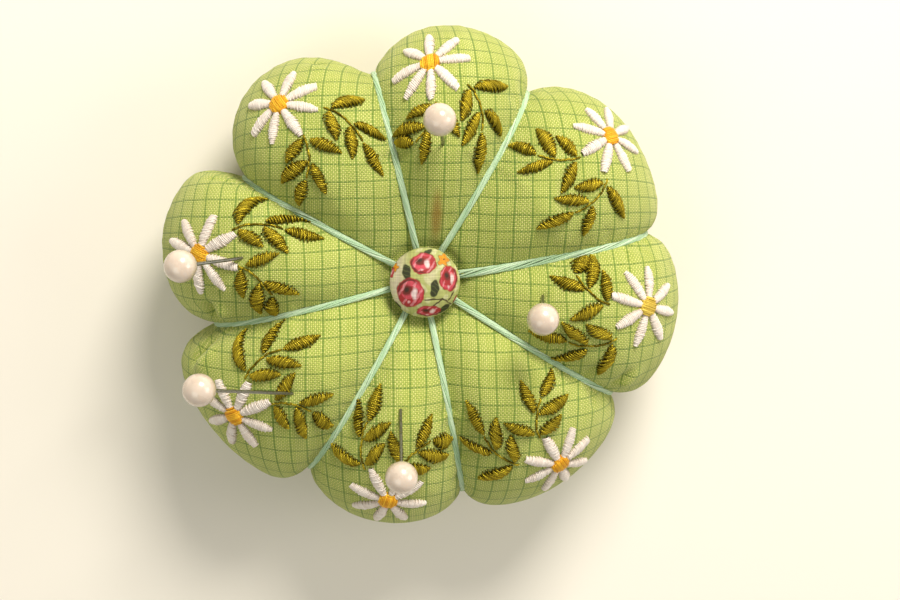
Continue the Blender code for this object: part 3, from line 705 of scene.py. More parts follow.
def checked_cotton():
    """Yellow-green plain weave with a darker green check, one thread wide, and fine fuzz on it."""
    sheen = {"Sheen_Weight": 0.3, "Sheen_Roughness": 0.5, "Sheen_Tint": paint(236, 236, 214)}
    shader = Shader("checked_cotton", Roughness=0.88, Specular_IOR_Level=0.25, **sheen)
    where = shader.flat_place()
    height, warp_on_top, (warp_number, weft_number), (across_u, across_v) = weave(shader, where, THREAD_PITCH)
    ground = shader.mix(shader.white(warp_number, 3.0), paint(202, 202, 104), paint(224, 217, 134))
    weft_ground = shader.mix(shader.white(weft_number, 7.0), paint(149, 171, 58), paint(175, 190, 82))
    line = paint(62, 108, 22)
    threads, lines = [], []
    for position, colour in ((across_u, ground), (across_v, weft_ground)):
        step = shader.math("FLOORED_MODULO", position, float(CHECK_THREADS))
        on_line = shader.math("LESS_THAN", shader.math("ABSOLUTE", shader.math("SUBTRACT", step, 0.5)), 0.36)
        lines.append(on_line)
        threads.append(shader.mix(shader.math("MULTIPLY", on_line, 0.85), colour, line))
    colour = shader.mix(warp_on_top, threads[1], threads[0])
    crossed = shader.math("MULTIPLY", shader.math("MAXIMUM", lines[0], lines[1]), 0.62)
    colour = shader.mix(crossed, colour, line)
    # Painted shade: the low places between the threads turn dark olive.
    gap_shade = shader.span(height, 0.4, 0.85, 1.0, 0.0)
    colour = shader.mix(shader.math("MULTIPLY", gap_shade, 0.6), colour, paint(98, 130, 26))
    # Painted highlight: the tops of the thread crossings turn pale cream, less so on the check lines.
    knuckle_highlight = shader.span(height, 0.85, 1.0, 0.0, 0.4)
    knuckle_highlight = shader.math("MULTIPLY", knuckle_highlight, shader.math("SUBTRACT", 1.0, crossed))
    colour = shader.mix(knuckle_highlight, colour, paint(238, 230, 160))
    patches = shader.noise(where, 0.16, 3.0)
    colour = shader.mix(shader.span(patches, 0.35, 0.7, 0.0, 0.3), colour, paint(150, 160, 62))
    # A faint brown streak painted beside the first pin, patchy along its length.
    brown_mark = shader.math("MULTIPLY", shader.attribute("brown_mark"), shader.span(patches, 0.3, 0.7, 0.7, 1.0))
    colour = shader.mix(brown_mark, colour, paint(146, 104, 8))
    fuzz = shader.noise(where, 6.0, 4.0, 0.65)
    colour = shader.mix(shader.span(fuzz, 0.45, 0.75, 0.0, 0.35), colour, paint(224, 220, 138))
    shader.set("Base Color", colour)
    shader.set("Roughness", shader.span(fuzz, 0.3, 0.7, 0.82, 0.95))
    shader.bump(height, 0.00014)
    return shader.material


def floss(name, low, high, deep, roughness=0.42, sheen=0.3, filaments=7.0, lustre=0.0):
    """Shiny stranded thread in colours from 0 to 255: fine filaments along it, and a tint for each stitch."""
    gloss = {"Metallic": lustre, "Specular_IOR_Level": 0.5, "Specular_Tint": paint(*high)}
    shader = Shader(name, Roughness=roughness, Sheen_Weight=sheen, Sheen_Roughness=0.35, **gloss)
    stretched = shader.vector("MULTIPLY", shader.attribute("thread", "Vector"), (0.55, 1.0, 1.0))
    strands = shader.noise(stretched, filaments, 3.0, 0.6)
    colour = shader.mix(shader.span(strands, 0.3, 0.7, 0.0, 1.0), paint(*low), paint(*high))
    # The tint pulls a stitch toward the deep colour: a random tone for each stitch, and painted shade where
    # satin() lowers it at the ends and padding() sets it to 0.
    colour = shader.mix(shader.span(shader.attribute("tint"), 0.0, 1.0, 0.9, 0.0), colour, paint(*deep))
    shader.set("Base Color", colour)
    shader.set("Roughness", shader.span(strands, 0.3, 0.7, roughness + 0.12, roughness - 0.08))
    shader.bump(strands, 0.00006)
    return shader.material


def wadding():
    """Teased white cotton fibre."""
    shader = Shader("wadding", Roughness=0.95, Sheen_Weight=0.4, Sheen_Roughness=0.6)
    where = shader.own_place()
    fibres = shader.noise(shader.vector("MULTIPLY", where, (900.0, 260.0, 260.0)), 1.0, 6.0, 0.65)
    clumps = shader.noise(where, 180.0, 3.0)
    colour = shader.mix(clumps, paint(214, 210, 198), paint(244, 242, 234))
    colour = shader.mix(shader.span(fibres, 0.3, 0.7, 0.0, 0.4), colour, paint(188, 182, 166))
    shader.set("Base Color", colour)
    shader.bump(fibres, 0.0004)
    return shader.material


def metal(name, colour, roughness, grain=(2600.0, 2600.0, 160.0)):
    """Drawn or pressed metal with fine scratches along it."""
    shader = Shader(name, Metallic=1.0, Roughness=roughness)
    where = shader.own_place()
    scratches = shader.noise(shader.vector("MULTIPLY", where, grain), 1.0, 4.0, 0.6)
    tarnish = shader.noise(where, 420.0, 3.0)
    colour = shader.mix(shader.span(tarnish, 0.35, 0.75, 0.0, 0.5), colour, paint(150, 142, 128))
    shader.set("Base Color", colour)
    shader.set("Roughness", shader.span(scratches, 0.3, 0.7, roughness - 0.08, roughness + 0.14))
    shader.bump(scratches, 0.00001, 0.6)
    return shader.material


def pearl():
    """Moulded pearl: a soft cream body under a glossy coat, with shade painted on it: darker and duller
    toward its edge.
    """
    depth = {"Subsurface_Weight": 0.25, "Subsurface_Radius": (1.0, 0.8, 0.6), "Subsurface_Scale": 0.0012}
    coat = {"Coat_Weight": 1.0, "Coat_Roughness": 0.05, "IOR": 1.55}
    shader = Shader("moulded_pearl", Roughness=0.3, **coat, **depth)
    where = shader.own_place()
    facing = shader.node("LayerWeight", "Facing", {"Blend": 0.35})
    cloud = shader.noise(where, 320.0, 3.0)
    body = shader.mix(shader.span(cloud, 0.35, 0.7, 0.0, 1.0), paint(210, 190, 170), paint(226, 208, 190))
    # Painted shade: the body turns to a darker, duller colour where its surface turns away from the camera.
    edge = shader.mix(cloud, paint(184, 154, 130), paint(172, 156, 132))
    shader.set("Base Color", shader.mix(shader.span(facing, 0.25, 0.95, 0.0, 0.8), body, edge))
    shader.set("Roughness", shader.span(cloud, 0.3, 0.7, 0.22, 0.36))
    shader.bump(shader.noise(where, 900.0, 2.0), 0.00001, 0.5)
    return shader.material


def printed_cotton():
    """The button's fine cotton, whose print is painted point by point on its mesh."""
    shader = Shader("printed_cotton", Roughness=0.62, Specular_IOR_Level=0.35)
    height, _, (warp_number, weft_number), _ = weave(shader, shader.flat_place(), PRINT_PITCH)
    thread_tone = shader.math("ADD", shader.white(warp_number, 1.0), shader.white(weft_number, 5.0))
    print_colour = shader.attribute("print", "Color")
    shade = shader.mix(shader.span(height, 0.35, 0.85, 0.35, 0.0), print_colour, paint(96, 96, 56))
    lit = shader.mix(shader.span(thread_tone, 0.3, 1.7, 0.3, 0.0), shade, paint(70, 50, 34))
    shader.set("Base Color", lit)
    shader.bump(height, 0.00004)
    return shader.material


def pale_floor():
    """Plain pale paint with the faintest clouds."""
    shader = Shader("pale_floor", Roughness=0.75)
    where = shader.own_place()
    cloud = shader.noise(where, 6.0, 3.0)
    shader.set("Base Color", shader.mix(cloud, paint(235, 226, 210), paint(243, 236, 223)))
    return shader.material


COTTON = checked_cotton()
WADDING = wadding()
MINT = floss("mint_floss_fibre", (196, 222, 182), (238, 248, 222), (148, 188, 140), 0.5, 0.12, 5.0)
WHITE = floss("white_floss_fibre", (240, 225, 209), (252, 245, 235), (216, 191, 170), sheen=0.25)
GOLD = floss("golden_floss_fibre", (246, 172, 18), (255, 224, 84), (196, 96, 4), 0.36, 0.0, lustre=0.25)
LEMON = floss("lemon_floss_fibre", (226, 190, 60), (255, 232, 124), (176, 140, 30), 0.36, 0.0, lustre=0.25)
OLIVE = floss("olive_floss_fibre", (140, 118, 8), (226, 204, 66), (26, 18, 1), 0.3, 0.0, lustre=0.65)
SEWING = floss("sewing_thread_fibre", (176, 188, 104), (206, 214, 140), (128, 140, 64), 0.6)
STEEL = metal("pin_steel_drawn", paint(150, 150, 140), 0.3)
TIN = metal("button_tin_pressed", paint(198, 200, 202), 0.34, (700.0, 700.0, 700.0))
PEARL = pearl()
PRINT = printed_cotton()

# ---------------------------------------------------------------- the two sides and the filling


def make_cloth_sides():
    """Both finished sides of the cushion."""
    grids = [cloth_grid(False), cloth_grid(True)]
    grids = inflate(*grids)
    top, bottom = Cloth(grids[0], False), Cloth(grids[1], True)
    for side in (top, bottom):
        side.pucker()
    top.dent(PIN_ENTRIES, 0.35, 1.0)
    for start, end, depth, width in FOLDS:
        top.crease(start, end, depth, width)
    for side in (top, bottom):
        side.settle()
    return top, bottom


# How far each panel's edge turns in at the seam.
TUCK = 0.9


def tucked_edge(cloth):
    """One more row, inside the rim, for the whole way round."""
    rim = cloth.points[-1:]
    inward = -unit(rim * np.array([1.0, 1.0, 0.0]))
    return rim + inward * TUCK + np.array([0, 0, -0.06 if cloth.below else 0.06])


def make_panel(cloth, name, node):
    """One cotton panel, with its places on the cut cloth and, on the upper one, its brown mark."""
    rows = np.concatenate([cloth.points, tucked_edge(cloth)])
    flat = cloth.cut_places()
    flat = np.concatenate([flat, flat[-1:] + unit(flat[-1:] - flat[-2:-1]) * TUCK])
    faces = grid_faces(len(rows), cloth.columns, cloth.below)
    panel = new_piece(name, rows, faces, COTTON)
    set_flat_uv(panel, flat)
    if not cloth.below:
        away = (rows[..., :2] - np.array(BROWN_MARK_PLACE)) / np.array(BROWN_MARK_SIZE)
        set_values(panel, "brown_mark", np.exp(-((away**2).sum(axis=-1) ** 1.5)))
    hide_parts(node)
    return panel


# How far the wadding lies inside the outer face of the cotton above it and below it.
FILLING_ABOVE = 1.7
FILLING_BELOW = 0.8


def make_filling(top, bottom):
    """The wadding inside: lumpy, and a little smaller than the cotton round it."""
    sides = []
    for cloth in (top, bottom):
        points = cloth.points[::2, ::2]
        normals = cloth.normals[::2, ::2]
        lumps = 0.25 * np.sin(points * np.array([0.9, 1.1, 0.7])).prod(axis=-1)
        depth = FILLING_BELOW if cloth.below else FILLING_ABOVE
        inner = points - normals * (depth + lumps)[..., None]
        inner[-1, :, :2] *= 0.985
        inner[-1, :, 2] = SEAM_Z + (-0.9 if cloth.below else 0.9)
        sides.append(inner)
    rows = np.concatenate([sides[0], sides[1][::-1]])
    count, columns = rows.shape[:2]
    faces = grid_faces(count, columns).tolist()
    last = (count - 1) * columns
    for column in range(columns):
        following = (column + 1) % columns
        faces.append([last + column, last + following, following, column])
    filling = new_piece("wadding_filling", rows, faces, WADDING)
    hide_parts("stuffing")


TOP, BOTTOM = make_cloth_sides()
make_filling(TOP, BOTTOM)
for cloth, name, node in ((TOP, "upper_cotton", "top_panel"), (BOTTOM, "lower_cotton", "bottom_panel")):
    panel = make_panel(cloth, name, node)

# ---------------------------------------------------------------- embroidery


def on_flat_cloth(petal, place, turn, points):
    """Points of a motif that stands at a place of a petal, turned by some degrees."""
    return spun(spun(points, math.radians(turn)) + np.asarray(place), direction_of(petal, 0.0))


def off_the_grooves(petal, point, limit):
    """The point itself, or the nearest one at its distance that keeps clear of the floss."""
    middle = direction_of(petal, 0.0)
    half_angle = direction_of(petal, 1.0) - middle
    offset = (math.atan2(point[1], point[0]) - middle + math.pi) % (2 * math.pi) - math.pi
    across = max(-limit, min(limit, offset / half_angle))
    return np.hypot(*point) * rays(direction_of(petal, across))


# Satin stitches: how high they arch, how high their padding stands, the step from one to the next, the
# thread's radius, the range of their tints, how much shade is painted on their ends and how uneven their ends
# are.
STITCH_POINTS = 9
STITCH_TWIST = 3.0
LEAF_STITCH = {
    "rise": 0.95,
    "padding": 0.54,
    "pitch": 0.39,
    "radius": 0.195,
    "tints": (0.35, 1.0),
    "shaded_ends": 0.95,
    "uneven": 0.15,
}
PETAL_STITCH = {
    "rise": 0.62,
    "padding": 0.26,
    "pitch": 0.34,
    "radius": 0.19,
    "tints": (0.6, 1.0),
    "shaded_ends": 0.3,
    "uneven": 0.07,
}


def measured(base, tip):
    """The length from base to tip, its direction, and the direction to its left."""
    length = math.dist(base, tip)
    ahead = (tip - base) / length
    return length, ahead, beside(ahead)


def satin(work, base, tip, half_width, slant, shape, style):
    """Satin stitches side by side from base to tip, each arched over the padding under it."""
    length, ahead, left = measured(base, tip)
    radius, uneven = style["radius"], style["uneven"]
    count = max(4, round(length / style["pitch"]))
    along = (np.arange(count) + 0.5) / count
    width = half_width * shape(along)
    width = width * (1 + random.uniform(-0.07, 0.07, count))
    sweep = np.linspace(-1, 1, STITCH_POINTS)
    right = left + ahead * math.tan(math.radians(slant))
    jag = np.where(np.arange(count) % 2, 1, -1) * uneven
    stretch = np.stack([jag, -jag]) + random.uniform(-0.7 * uneven, 0.8 * uneven, (2, count))
    reach = sweep[None] * (1 + np.where(sweep[None] < 0, stretch[0][:, None], stretch[1][:, None]))
    middle = base + ahead * (along * length)[:, None]
    flat = middle[:, None] + right * (reach * width[:, None])[..., None]
    height = style["rise"] * (width / half_width) ** 0.6
    arch = np.sqrt(np.clip(1 - np.abs(sweep) ** 2.4, 0, 1))
    lift = height[:, None] * arch[None] - radius * 0.7 * (1 - arch[None]) + radius * 0.2
    lift = lift + random.uniform(-0.05, 0.05, (count, 1))
    centres, normals = TOP.place(flat, lift)
    radii = radius * (1 - 0.35 * np.abs(sweep) ** 3)[None] * (1 + random.uniform(-0.1, 0.1, (count, 1)))
    # Painted shade: each stitch's tint falls toward its ends, where it dives into the cloth.
    darker = 1 - style["shaded_ends"] * np.abs(sweep) ** 4
    tints = random.uniform(*style["tints"], (count, 1)) * darker[None]
    work.add(centres, normals, radii, tints, flatness=0.85, twist=STITCH_TWIST)


def leaf_shape(along):
    """Half-width of a pointed leaf, from its stalk end (0) to its tip (1)."""
    return np.clip(np.sin(math.pi * np.clip(along, 0, 1) ** 0.86) ** 0.85, 0.12, 1)


def petal_shape(tip):
    """Half-width of a daisy petal: narrow by the centre, widest past the middle, then down to its tip."""

    def shape(along):
        swell = 0.5 + 0.5 * np.sin(math.pi / 2 * np.clip(along / 0.6, 0, 1))
        end = np.clip((along - 0.58) / 0.42, 0, 1)
        return swell * (1 - (1 - tip) * end**1.8)

    return shape


def padding(work, base, tip, half_width, shape, style):
    """Long stitches under the satin, which keep the cloth from showing through; they take the darkest tint,
    as painted shade in the gaps between the satin stitches.
    """
    length, ahead, left = measured(base, tip)
    lanes = np.linspace(-0.66, 0.66, 5)
    along = np.linspace(0.06, 0.94, 8)
    width = half_width * shape(along)
    flat = base + ahead * (along * length)[None, :, None]
    flat = flat + left * (lanes[:, None] * width[None])[..., None]
    lift = style["padding"] * np.sqrt(1 - lanes[:, None] ** 2) * (width / half_width)[None] ** 0.6
    centres, normals = TOP.place(flat, lift)
    radii = np.full(lift.shape, 0.24) * np.clip(width / half_width, 0.4, 1)[None]
    # The padding takes tint 0, the floss's deep colour, as painted shade showing between the satin stitches.
    work.add(centres, normals, radii, np.zeros(len(lanes)), flatness=0.8)


def make_sprig(petal, letter):
    """Five satin leaves on a running-stitched stem."""
    work = ThreadWork()

    def spot(point, limit=STALK_LIMIT):
        laid = on_flat_cloth(petal, SPRIG_PLACES[petal], SPRIG_TURNS[petal], point)
        return off_the_grooves(petal, laid, limit)

    stem = [spot(point) for point in SPRIG_STEMS[letter]]
    for start, end in zip(stem, stem[1:]):
        count = max(2, round(math.dist(start, end) / STEM_STITCH))
        for step in range(count):
            share = np.linspace(step - 0.12, step + 1.12, len(STEM_LIFTS))[:, None] / count
            side = beside(unit(end - start)) * random.uniform(-0.12, 0.12)
            flat = (start + (end - start) * share + side)[None]
            centres, normals = TOP.place(flat, np.array([STEM_LIFTS]))
            radii = np.full((1, len(STEM_LIFTS)), 0.2)
            work.add(centres, normals, radii, random.uniform(0.1, 1.0, 1), twist=STITCH_TWIST)
    for index, (base, tip) in enumerate(SPRIG_LEAVES[letter]):
        start, end = spot(base), spot(tip, TIP_LIMIT)
        length = math.dist(base, tip)
        # A leaf that the groove would cut short turns along it until it has its whole length.
        for _ in range(8):
            end = off_the_grooves(petal, start + unit(end - start) * length, TIP_LIMIT)
        wobble = random.uniform(-0.25, 0.25, 2)
        end = end + wobble + unit(end - start) * LEAF_TIP
        slant = random.uniform(20, 36) * (1 if index % 2 else -1)
        half_width = LEAF_HALF_WIDTH * random.uniform(1.02, 1.2)
        padding(work, start, end, half_width, leaf_shape, LEAF_STITCH)
        satin(work, start, end, half_width, slant, leaf_shape, LEAF_STITCH)
    sprig = work.make(f"stitched_sprig_{petal + 1}{letter}", OLIVE)
    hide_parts(f"leaf_sprig_{petal + 1}{letter}")


def make_daisy(petal):
    """Eight satin petals round a centre of short golden stitches."""
    petals = ThreadWork()
    place, turn = DAISY_PLACES[petal], DAISY_TURNS[petal]
    for number in range(DAISY_PETALS):
        angle = math.radians(360.0 / DAISY_PETALS * number + random.uniform(-4, 4))
        reach = DAISY_REACH * random.uniform(0.95, 1.03)
        ray = rays(angle)
        start, end = on_flat_cloth(petal, place, turn, [ray * (EYE_RADIUS - 0.05), ray * reach])
        half_width = DAISY_HALF_WIDTH * random.uniform(0.93, 1.07)
        shape = petal_shape(random.uniform(0.3, 0.7))
        padding(petals, start, end, half_width, shape, PETAL_STITCH)
        satin(petals, start, end, half_width, random.uniform(-18, 18), shape, PETAL_STITCH)
    ring = petals.make(f"stitched_daisy_{petal + 1}", WHITE)
    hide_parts(f"daisy_petals_{petal + 1}")


def make_eye(petal):
    """The daisy's centre: two layers of parallel stitches that cross, in a rounded square."""
    eye = ThreadWork()
    for height, size, lanes, radius, layer_turn in EYE_LAYERS:
        layer_turn = math.radians(random.uniform(-20, 20) + layer_turn)
        for lane in np.linspace(-0.95, 0.95, lanes):
            half = EYE_RADIUS * size * (1 - abs(lane) ** 3.5) ** (1 / 3.5) * random.uniform(0.88, 1.12)
            sweep = np.linspace(-1, 1, EYE_POINTS)
            sway = random.uniform(-0.05, 0.05)
            line = np.stack([max(half, 0.5) * sweep, np.full(EYE_POINTS, lane * EYE_RADIUS * size + sway)], 1)
            line = spun(line, layer_turn)
            flat = on_flat_cloth(petal, DAISY_PLACES[petal], DAISY_TURNS[petal], line)[None]
            arch = np.sqrt(np.clip(1 - np.abs(sweep) ** 3, 0, 1))
            dome = math.sqrt(1 - 0.6 * lane**2)
            centres, normals = TOP.place(flat, (height * dome * arch - 0.1 * (1 - arch))[None])
            radii = np.full((1, EYE_POINTS), radius)
            tints = random.uniform(0.3, 1.0, 1)
            eye.add(centres, normals, radii, tints, flatness=0.85, twist=STITCH_TWIST)
    material = LEMON if petal == PALE_EYE else GOLD
    centre = eye.make(f"stitched_eye_{petal + 1}", material)
    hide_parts(f"daisy_centre_{petal + 1}")


for petal in range(PETALS):
    make_daisy(petal)
    make_eye(petal)
    make_sprig(petal, "a")
    make_sprig(petal, "b")

# ---------------------------------------------------------------- floss, seam and ties

FLOSS_LIFT = 0.8
FLOSS_RIM_LIFT = 0.35
STRANDS = 12
STRAND_RADIUS = 0.19
FLOSS_HALF_WIDTH = 0.42
FLOSS_HALF_DEPTH = 0.24
FLOSS_TWIST = 2 * math.pi / 22.0
FLOSS_STEP = 0.9


def groove_path(cloth, groove):
    """The floss's middle line over one side: points and normals from the button out to the rim."""
    angle = math.radians(GROOVE_ANGLES[groove])
    distances = np.arange(6.0, FLAT_RADIUS - 0.2, 0.8)
    centres, _ = cloth.place(distances[:, None] * rays(angle), np.zeros(len(distances)))
    side = np.array([-math.sin(angle), math.cos(angle), 0.0])
    normals = np.cross(unit(np.gradient(centres, axis=0)), side)
    outward = (normals * (centres - np.array([0, 0, SEAM_Z]))).sum(axis=1)
    normals = normals * np.sign(outward)[:, None]
    share = np.clip((distances - 22.0) / 24.0, 0, 1)
    lift = FLOSS_LIFT + (FLOSS_RIM_LIFT - FLOSS_LIFT) * share
    return centres + normals * lift[:, None], normals


def polar(angle, radius, height):
    """A point given by its angle, its distance from the middle and its height over the seam."""
    return np.array([radius * math.cos(angle), radius * math.sin(angle), SEAM_Z + height])


def floss_route():
    """Middle line of the whole floss with its normals, and how wide it spreads there."""
    points, normals, spreads = [], [], []

    def add(point, normal, spread=1.0):
        points.append(point)
        normals.append(normal)
        spreads.append(spread)

    for groove in range(PETALS):
        angle = math.radians(GROOVE_ANGLES[groove])
        before = math.radians(groove_angle(groove - 1))
        out = np.array([math.cos(angle), math.sin(angle), 0.0])
        up = np.array([0.0, 0.0, 1.0])
        spread = 1.5 if groove == 1 else 1.0
        leg_start = -HOLE_HEIGHT + (4.5 if groove == 0 else 0.5)
        for share in (0.0, 0.33, 0.67) if groove == 0 else (0.33, 0.67):
            height = leg_start + share * (HOLE_HEIGHT - 0.5 - leg_start)
            add(polar(before + share * (angle - before), FLOSS_RING, height), -out)
        shoulder = ((FLOSS_RING, HOLE_HEIGHT - 0.5), (2.65, HOLE_HEIGHT + 0.45), (4.0, HOLE_HEIGHT + 1.0))
        for radius, height in shoulder:
            add(polar(angle, radius, height), unit(up - out * (1 if radius < 2.6 else 0.2)))
        for cloth, side in ((TOP, 1), (BOTTOM, -1)):
            line, line_normals = groove_path(cloth, groove)
            if side < 0:
                line, line_normals = line[::-1], line_normals[::-1]
            for index, (point, normal) in enumerate(zip(line, line_normals)):
                share = index / len(line) if side > 0 else 1 - index / len(line)
                add(point, normal, 1 + (spread - 1) * (1 - share) if side > 0 else 1.0)
        for radius, height in shoulder[::-1]:
            add(polar(angle, radius, -height), unit(-up - out * (1 if radius < 2.6 else 0.2)))
    return np.array(points), unit(np.array(normals)), np.array(spreads)


def resampled(values, step):
    """Rows of values read at even steps along the line of their first three columns."""
    run = np.concatenate([[0], np.cumsum(np.linalg.norm(np.diff(values[:, :3], axis=0), axis=1))])
    stops = np.arange(0, run[-1], step)
    return np.stack([np.interp(stops, run, column) for column in values.T], axis=1)


def make_floss():
    """Stranded floss wound eight times round the cushion."""
    points, normals, spreads = floss_route()
    table = resampled(np.concatenate([points, normals, spreads[:, None]], axis=1), FLOSS_STEP)
    points, normals, spreads = table[:, :3], unit(table[:, 3:6]), table[:, 6]
    for _ in range(2):
        points[1:-1] = (points[:-2] + 2 * points[1:-1] + points[2:]) / 4
    ahead = unit(np.gradient(points, axis=0))
    right = unit(np.cross(ahead, normals))
    above = np.cross(right, ahead)
    work = ThreadWork()
    lengths = np.arange(len(points)) * FLOSS_STEP
    for strand in range(STRANDS):
        turn = lengths * FLOSS_TWIST + 2 * math.pi * strand / STRANDS
        turn = turn + 0.5 * np.sin(lengths * 0.13 + strand)
        across = FLOSS_HALF_WIDTH * np.cos(turn) * spreads
        deep = FLOSS_HALF_DEPTH * np.sin(turn)
        centres = points + right * across[:, None] + above * deep[:, None]
        radii = np.full((1, len(points)), STRAND_RADIUS)
        work.add(centres[None], above[None], radii, random.uniform(0.2, 1.0, 1), flatness=0.9, twist=1.2)
    piece = work.make("wound_floss", MINT)
    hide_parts("wrap_thread")


make_floss()

# ---------------------------------------------------------------- buttons


BUTTON_SEGMENTS = 288
EDGE_HEIGHT = 1.2
DOME_REACH = 0.93
GATHERS = 26


def button_profile():
    """Radius and height of the cover's outer side, from its top to where it turns in underneath."""
    share = np.linspace(0, 1, 84)
    drop = 1 - np.sqrt(1 - (DOME_REACH * share) ** 2)
    height = BUTTON_DOME - (BUTTON_DOME - EDGE_HEIGHT) * drop / 0.6325
    dome = np.column_stack([BUTTON_COVER_RADIUS * share, height])
    wall = np.column_stack([np.full(5, BUTTON_COVER_RADIUS), np.linspace(1.1, 0.55, 5)])
    bend = np.linspace(0, math.pi / 2, 9)[1:]
    edge = np.array([BUTTON_COVER_RADIUS - 0.5, 0.55]) + 0.5 * np.column_stack([np.cos(bend), -np.sin(bend)])
    under = np.column_stack([np.linspace(5.9, 4.4, 4), np.full(4, 0.05)])
    return np.concatenate([dome, wall, edge, under])


# Roses as (x, y, half width, half height, turn); leaves likewise; blossoms as (x, y, radius).
ROSES = (
    (-0.4, 4.0, 2.6, 2.15, 0.3),
    (-2.9, -1.7, 2.75, 3.0, 1.9),
    (4.6, 1.0, 2.0, 2.6, 4.2),
    (0.7, -5.5, 2.5, 1.35, 5.6),
    (-7.3, 2.4, 1.2, 1.3, 2.2),
    (7.4, -3.9, 1.6, 1.6, 0.6),
)
LEAVES = (
    (0.6, 6.3, 1.0, 0.6, 0.5),
    (-3.6, 2.3, 0.9, 1.75, 0.2),
    (1.7, -0.9, 0.9, 1.85, -0.1),
    (3.8, -5.2, 1.6, 0.8, 0.6),
    (-5.9, -4.6, 0.7, 1.3, 0.8),
)
BLOSSOMS = ((3.7, 4.7, 1.35), (-6.1, 3.2, 0.9))
STEMS = ((-0.2, -3.0, 3.2, -2.9), (3.2, -2.9, 5.4, -4.3), (4.6, -3.3, 5.6, -1.8), (3.2, -2.9, 1.6, -4.3))
INK = paint(58, 34, 26)


def print_colours(x, y):
    """The rose print over points in millimetres on the button's cloth."""
    brush_x = x + 0.07 * np.sin(3.1 * y + 1.3) + 0.05 * np.sin(7.3 * x + 2.1 * y)
    brush_y = y + 0.07 * np.sin(2.7 * x + 0.4) + 0.05 * np.sin(6.1 * y - 3.0 * x)
    colours = np.empty((len(x), 4))
    colours[:] = paint(192, 196, 116)

    def lay(mask, colour, strength=1.0):
        weight = (np.clip(mask, 0, 1) * strength)[:, None]
        colours[:] = colours * (1 - weight) + np.array(colour) * weight

    blush = 0.5 + 0.5 * np.sin(0.7 * brush_x - 0.5 * brush_y + 2.0)
    lay(np.clip((-brush_x - 3.0) / 2.5, 0, 1), paint(232, 216, 190), 0.85)
    lay(blush * np.clip(1 - np.hypot(brush_x - 1.4, brush_y - 1.5) / 2.2, 0, 1), paint(226, 214, 178), 0.8)
    mottle = np.sin(1.9 * x + 1.1 * np.sin(1.3 * y)) * np.sin(1.7 * y + 0.9 * np.sin(1.5 * x))
    lay((mottle - 0.25) * 3, paint(230, 226, 176), 0.6)
    for x0, y0, x1, y1 in STEMS:
        length = math.hypot(x1 - x0, y1 - y0)
        along = np.clip(((brush_x - x0) * (x1 - x0) + (brush_y - y0) * (y1 - y0)) / length**2, 0, 1)
        apart = np.hypot(brush_x - x0 - along * (x1 - x0), brush_y - y0 - along * (y1 - y0))
        lay((0.2 - apart) / 0.1, INK, 0.95)
    for x0, y0, width, height, turn in LEAVES:
        a = (brush_x - x0) * math.cos(turn) + (brush_y - y0) * math.sin(turn)
        b = -(brush_x - x0) * math.sin(turn) + (brush_y - y0) * math.cos(turn)
        inside = 1 - np.hypot(a / width, b / height)
        lay(inside * 6, paint(28, 40, 14))
        lay((np.sin(5 * a + 7 * b) - 0.5) * 2 * (inside > 0.2), paint(84, 100, 46), 0.7)
    for x0, y0, size in BLOSSOMS:
        angle = np.arctan2(brush_y - y0, brush_x - x0)
        apart = np.hypot(brush_x - x0, brush_y - y0)
        reach = size * (0.85 + 0.2 * np.cos(5 * angle))
        lay((reach + 0.16 - apart) * 8, INK, 0.75)
        lay((reach - apart) * 8, paint(236, 152, 12))
        lay((0.2 * size - apart) * 8, INK)
        lay((0.12 - np.abs(np.sin(2.5 * angle))) * 9 * (apart < 0.7 * size), INK, 0.6)
    for x0, y0, width, height, turn in ROSES:
        a, b = (brush_x - x0) / width, (brush_y - y0) / height
        apart = np.hypot(a, b)
        angle = np.arctan2(b, a) + turn
        edge = 1 + 0.02 * np.cos(4 * angle) + 0.012 * np.cos(9 * angle + 1)
        lay((edge + 0.05 - apart) * 12 * np.clip(np.sin(7 * angle) * 2, 0, 1), paint(60, 4, 14), 0.85)
        lay((edge - apart) * 12, paint(184, 16, 44))
        swirl = np.sin(angle + 7.0 * apart)
        lay((edge - 0.1 - apart) * 6 * np.clip(swirl * 2.2, 0, 1), paint(230, 76, 100), 0.92)
        lay((0.16 - np.abs(swirl)) * 5 * (apart < edge - 0.1), paint(128, 4, 24), 0.8)
        lay((0.42 - np.hypot(a + 0.22, b - 0.18)) * 7, paint(112, 2, 18), 0.95)
        lay((0.22 - np.hypot(a + 0.26, b - 0.22)) * 9, paint(40, 0, 8), 0.95)
        lay((0.4 - np.hypot((a - 0.3) * 1.6, (b + 0.02) * 0.8)) * 5, paint(250, 226, 222), 0.95)
        strokes = np.sin(9 * a - 6 * b + turn)
        lay((strokes - 0.55) * 4 * (apart > 0.5) * (apart < edge - 0.12), paint(250, 168, 176), 0.55)
        lay((0.14 - np.hypot(a + 0.1, b + 0.62)) * 12, paint(250, 206, 204), 0.9)
        arc = np.clip(np.cos(angle + 2.2) * 2 - 0.4, 0, 1)
        lay((0.1 - np.abs(apart - 0.84)) * 14 * arc, paint(92, 2, 18), 0.9)
    return colours


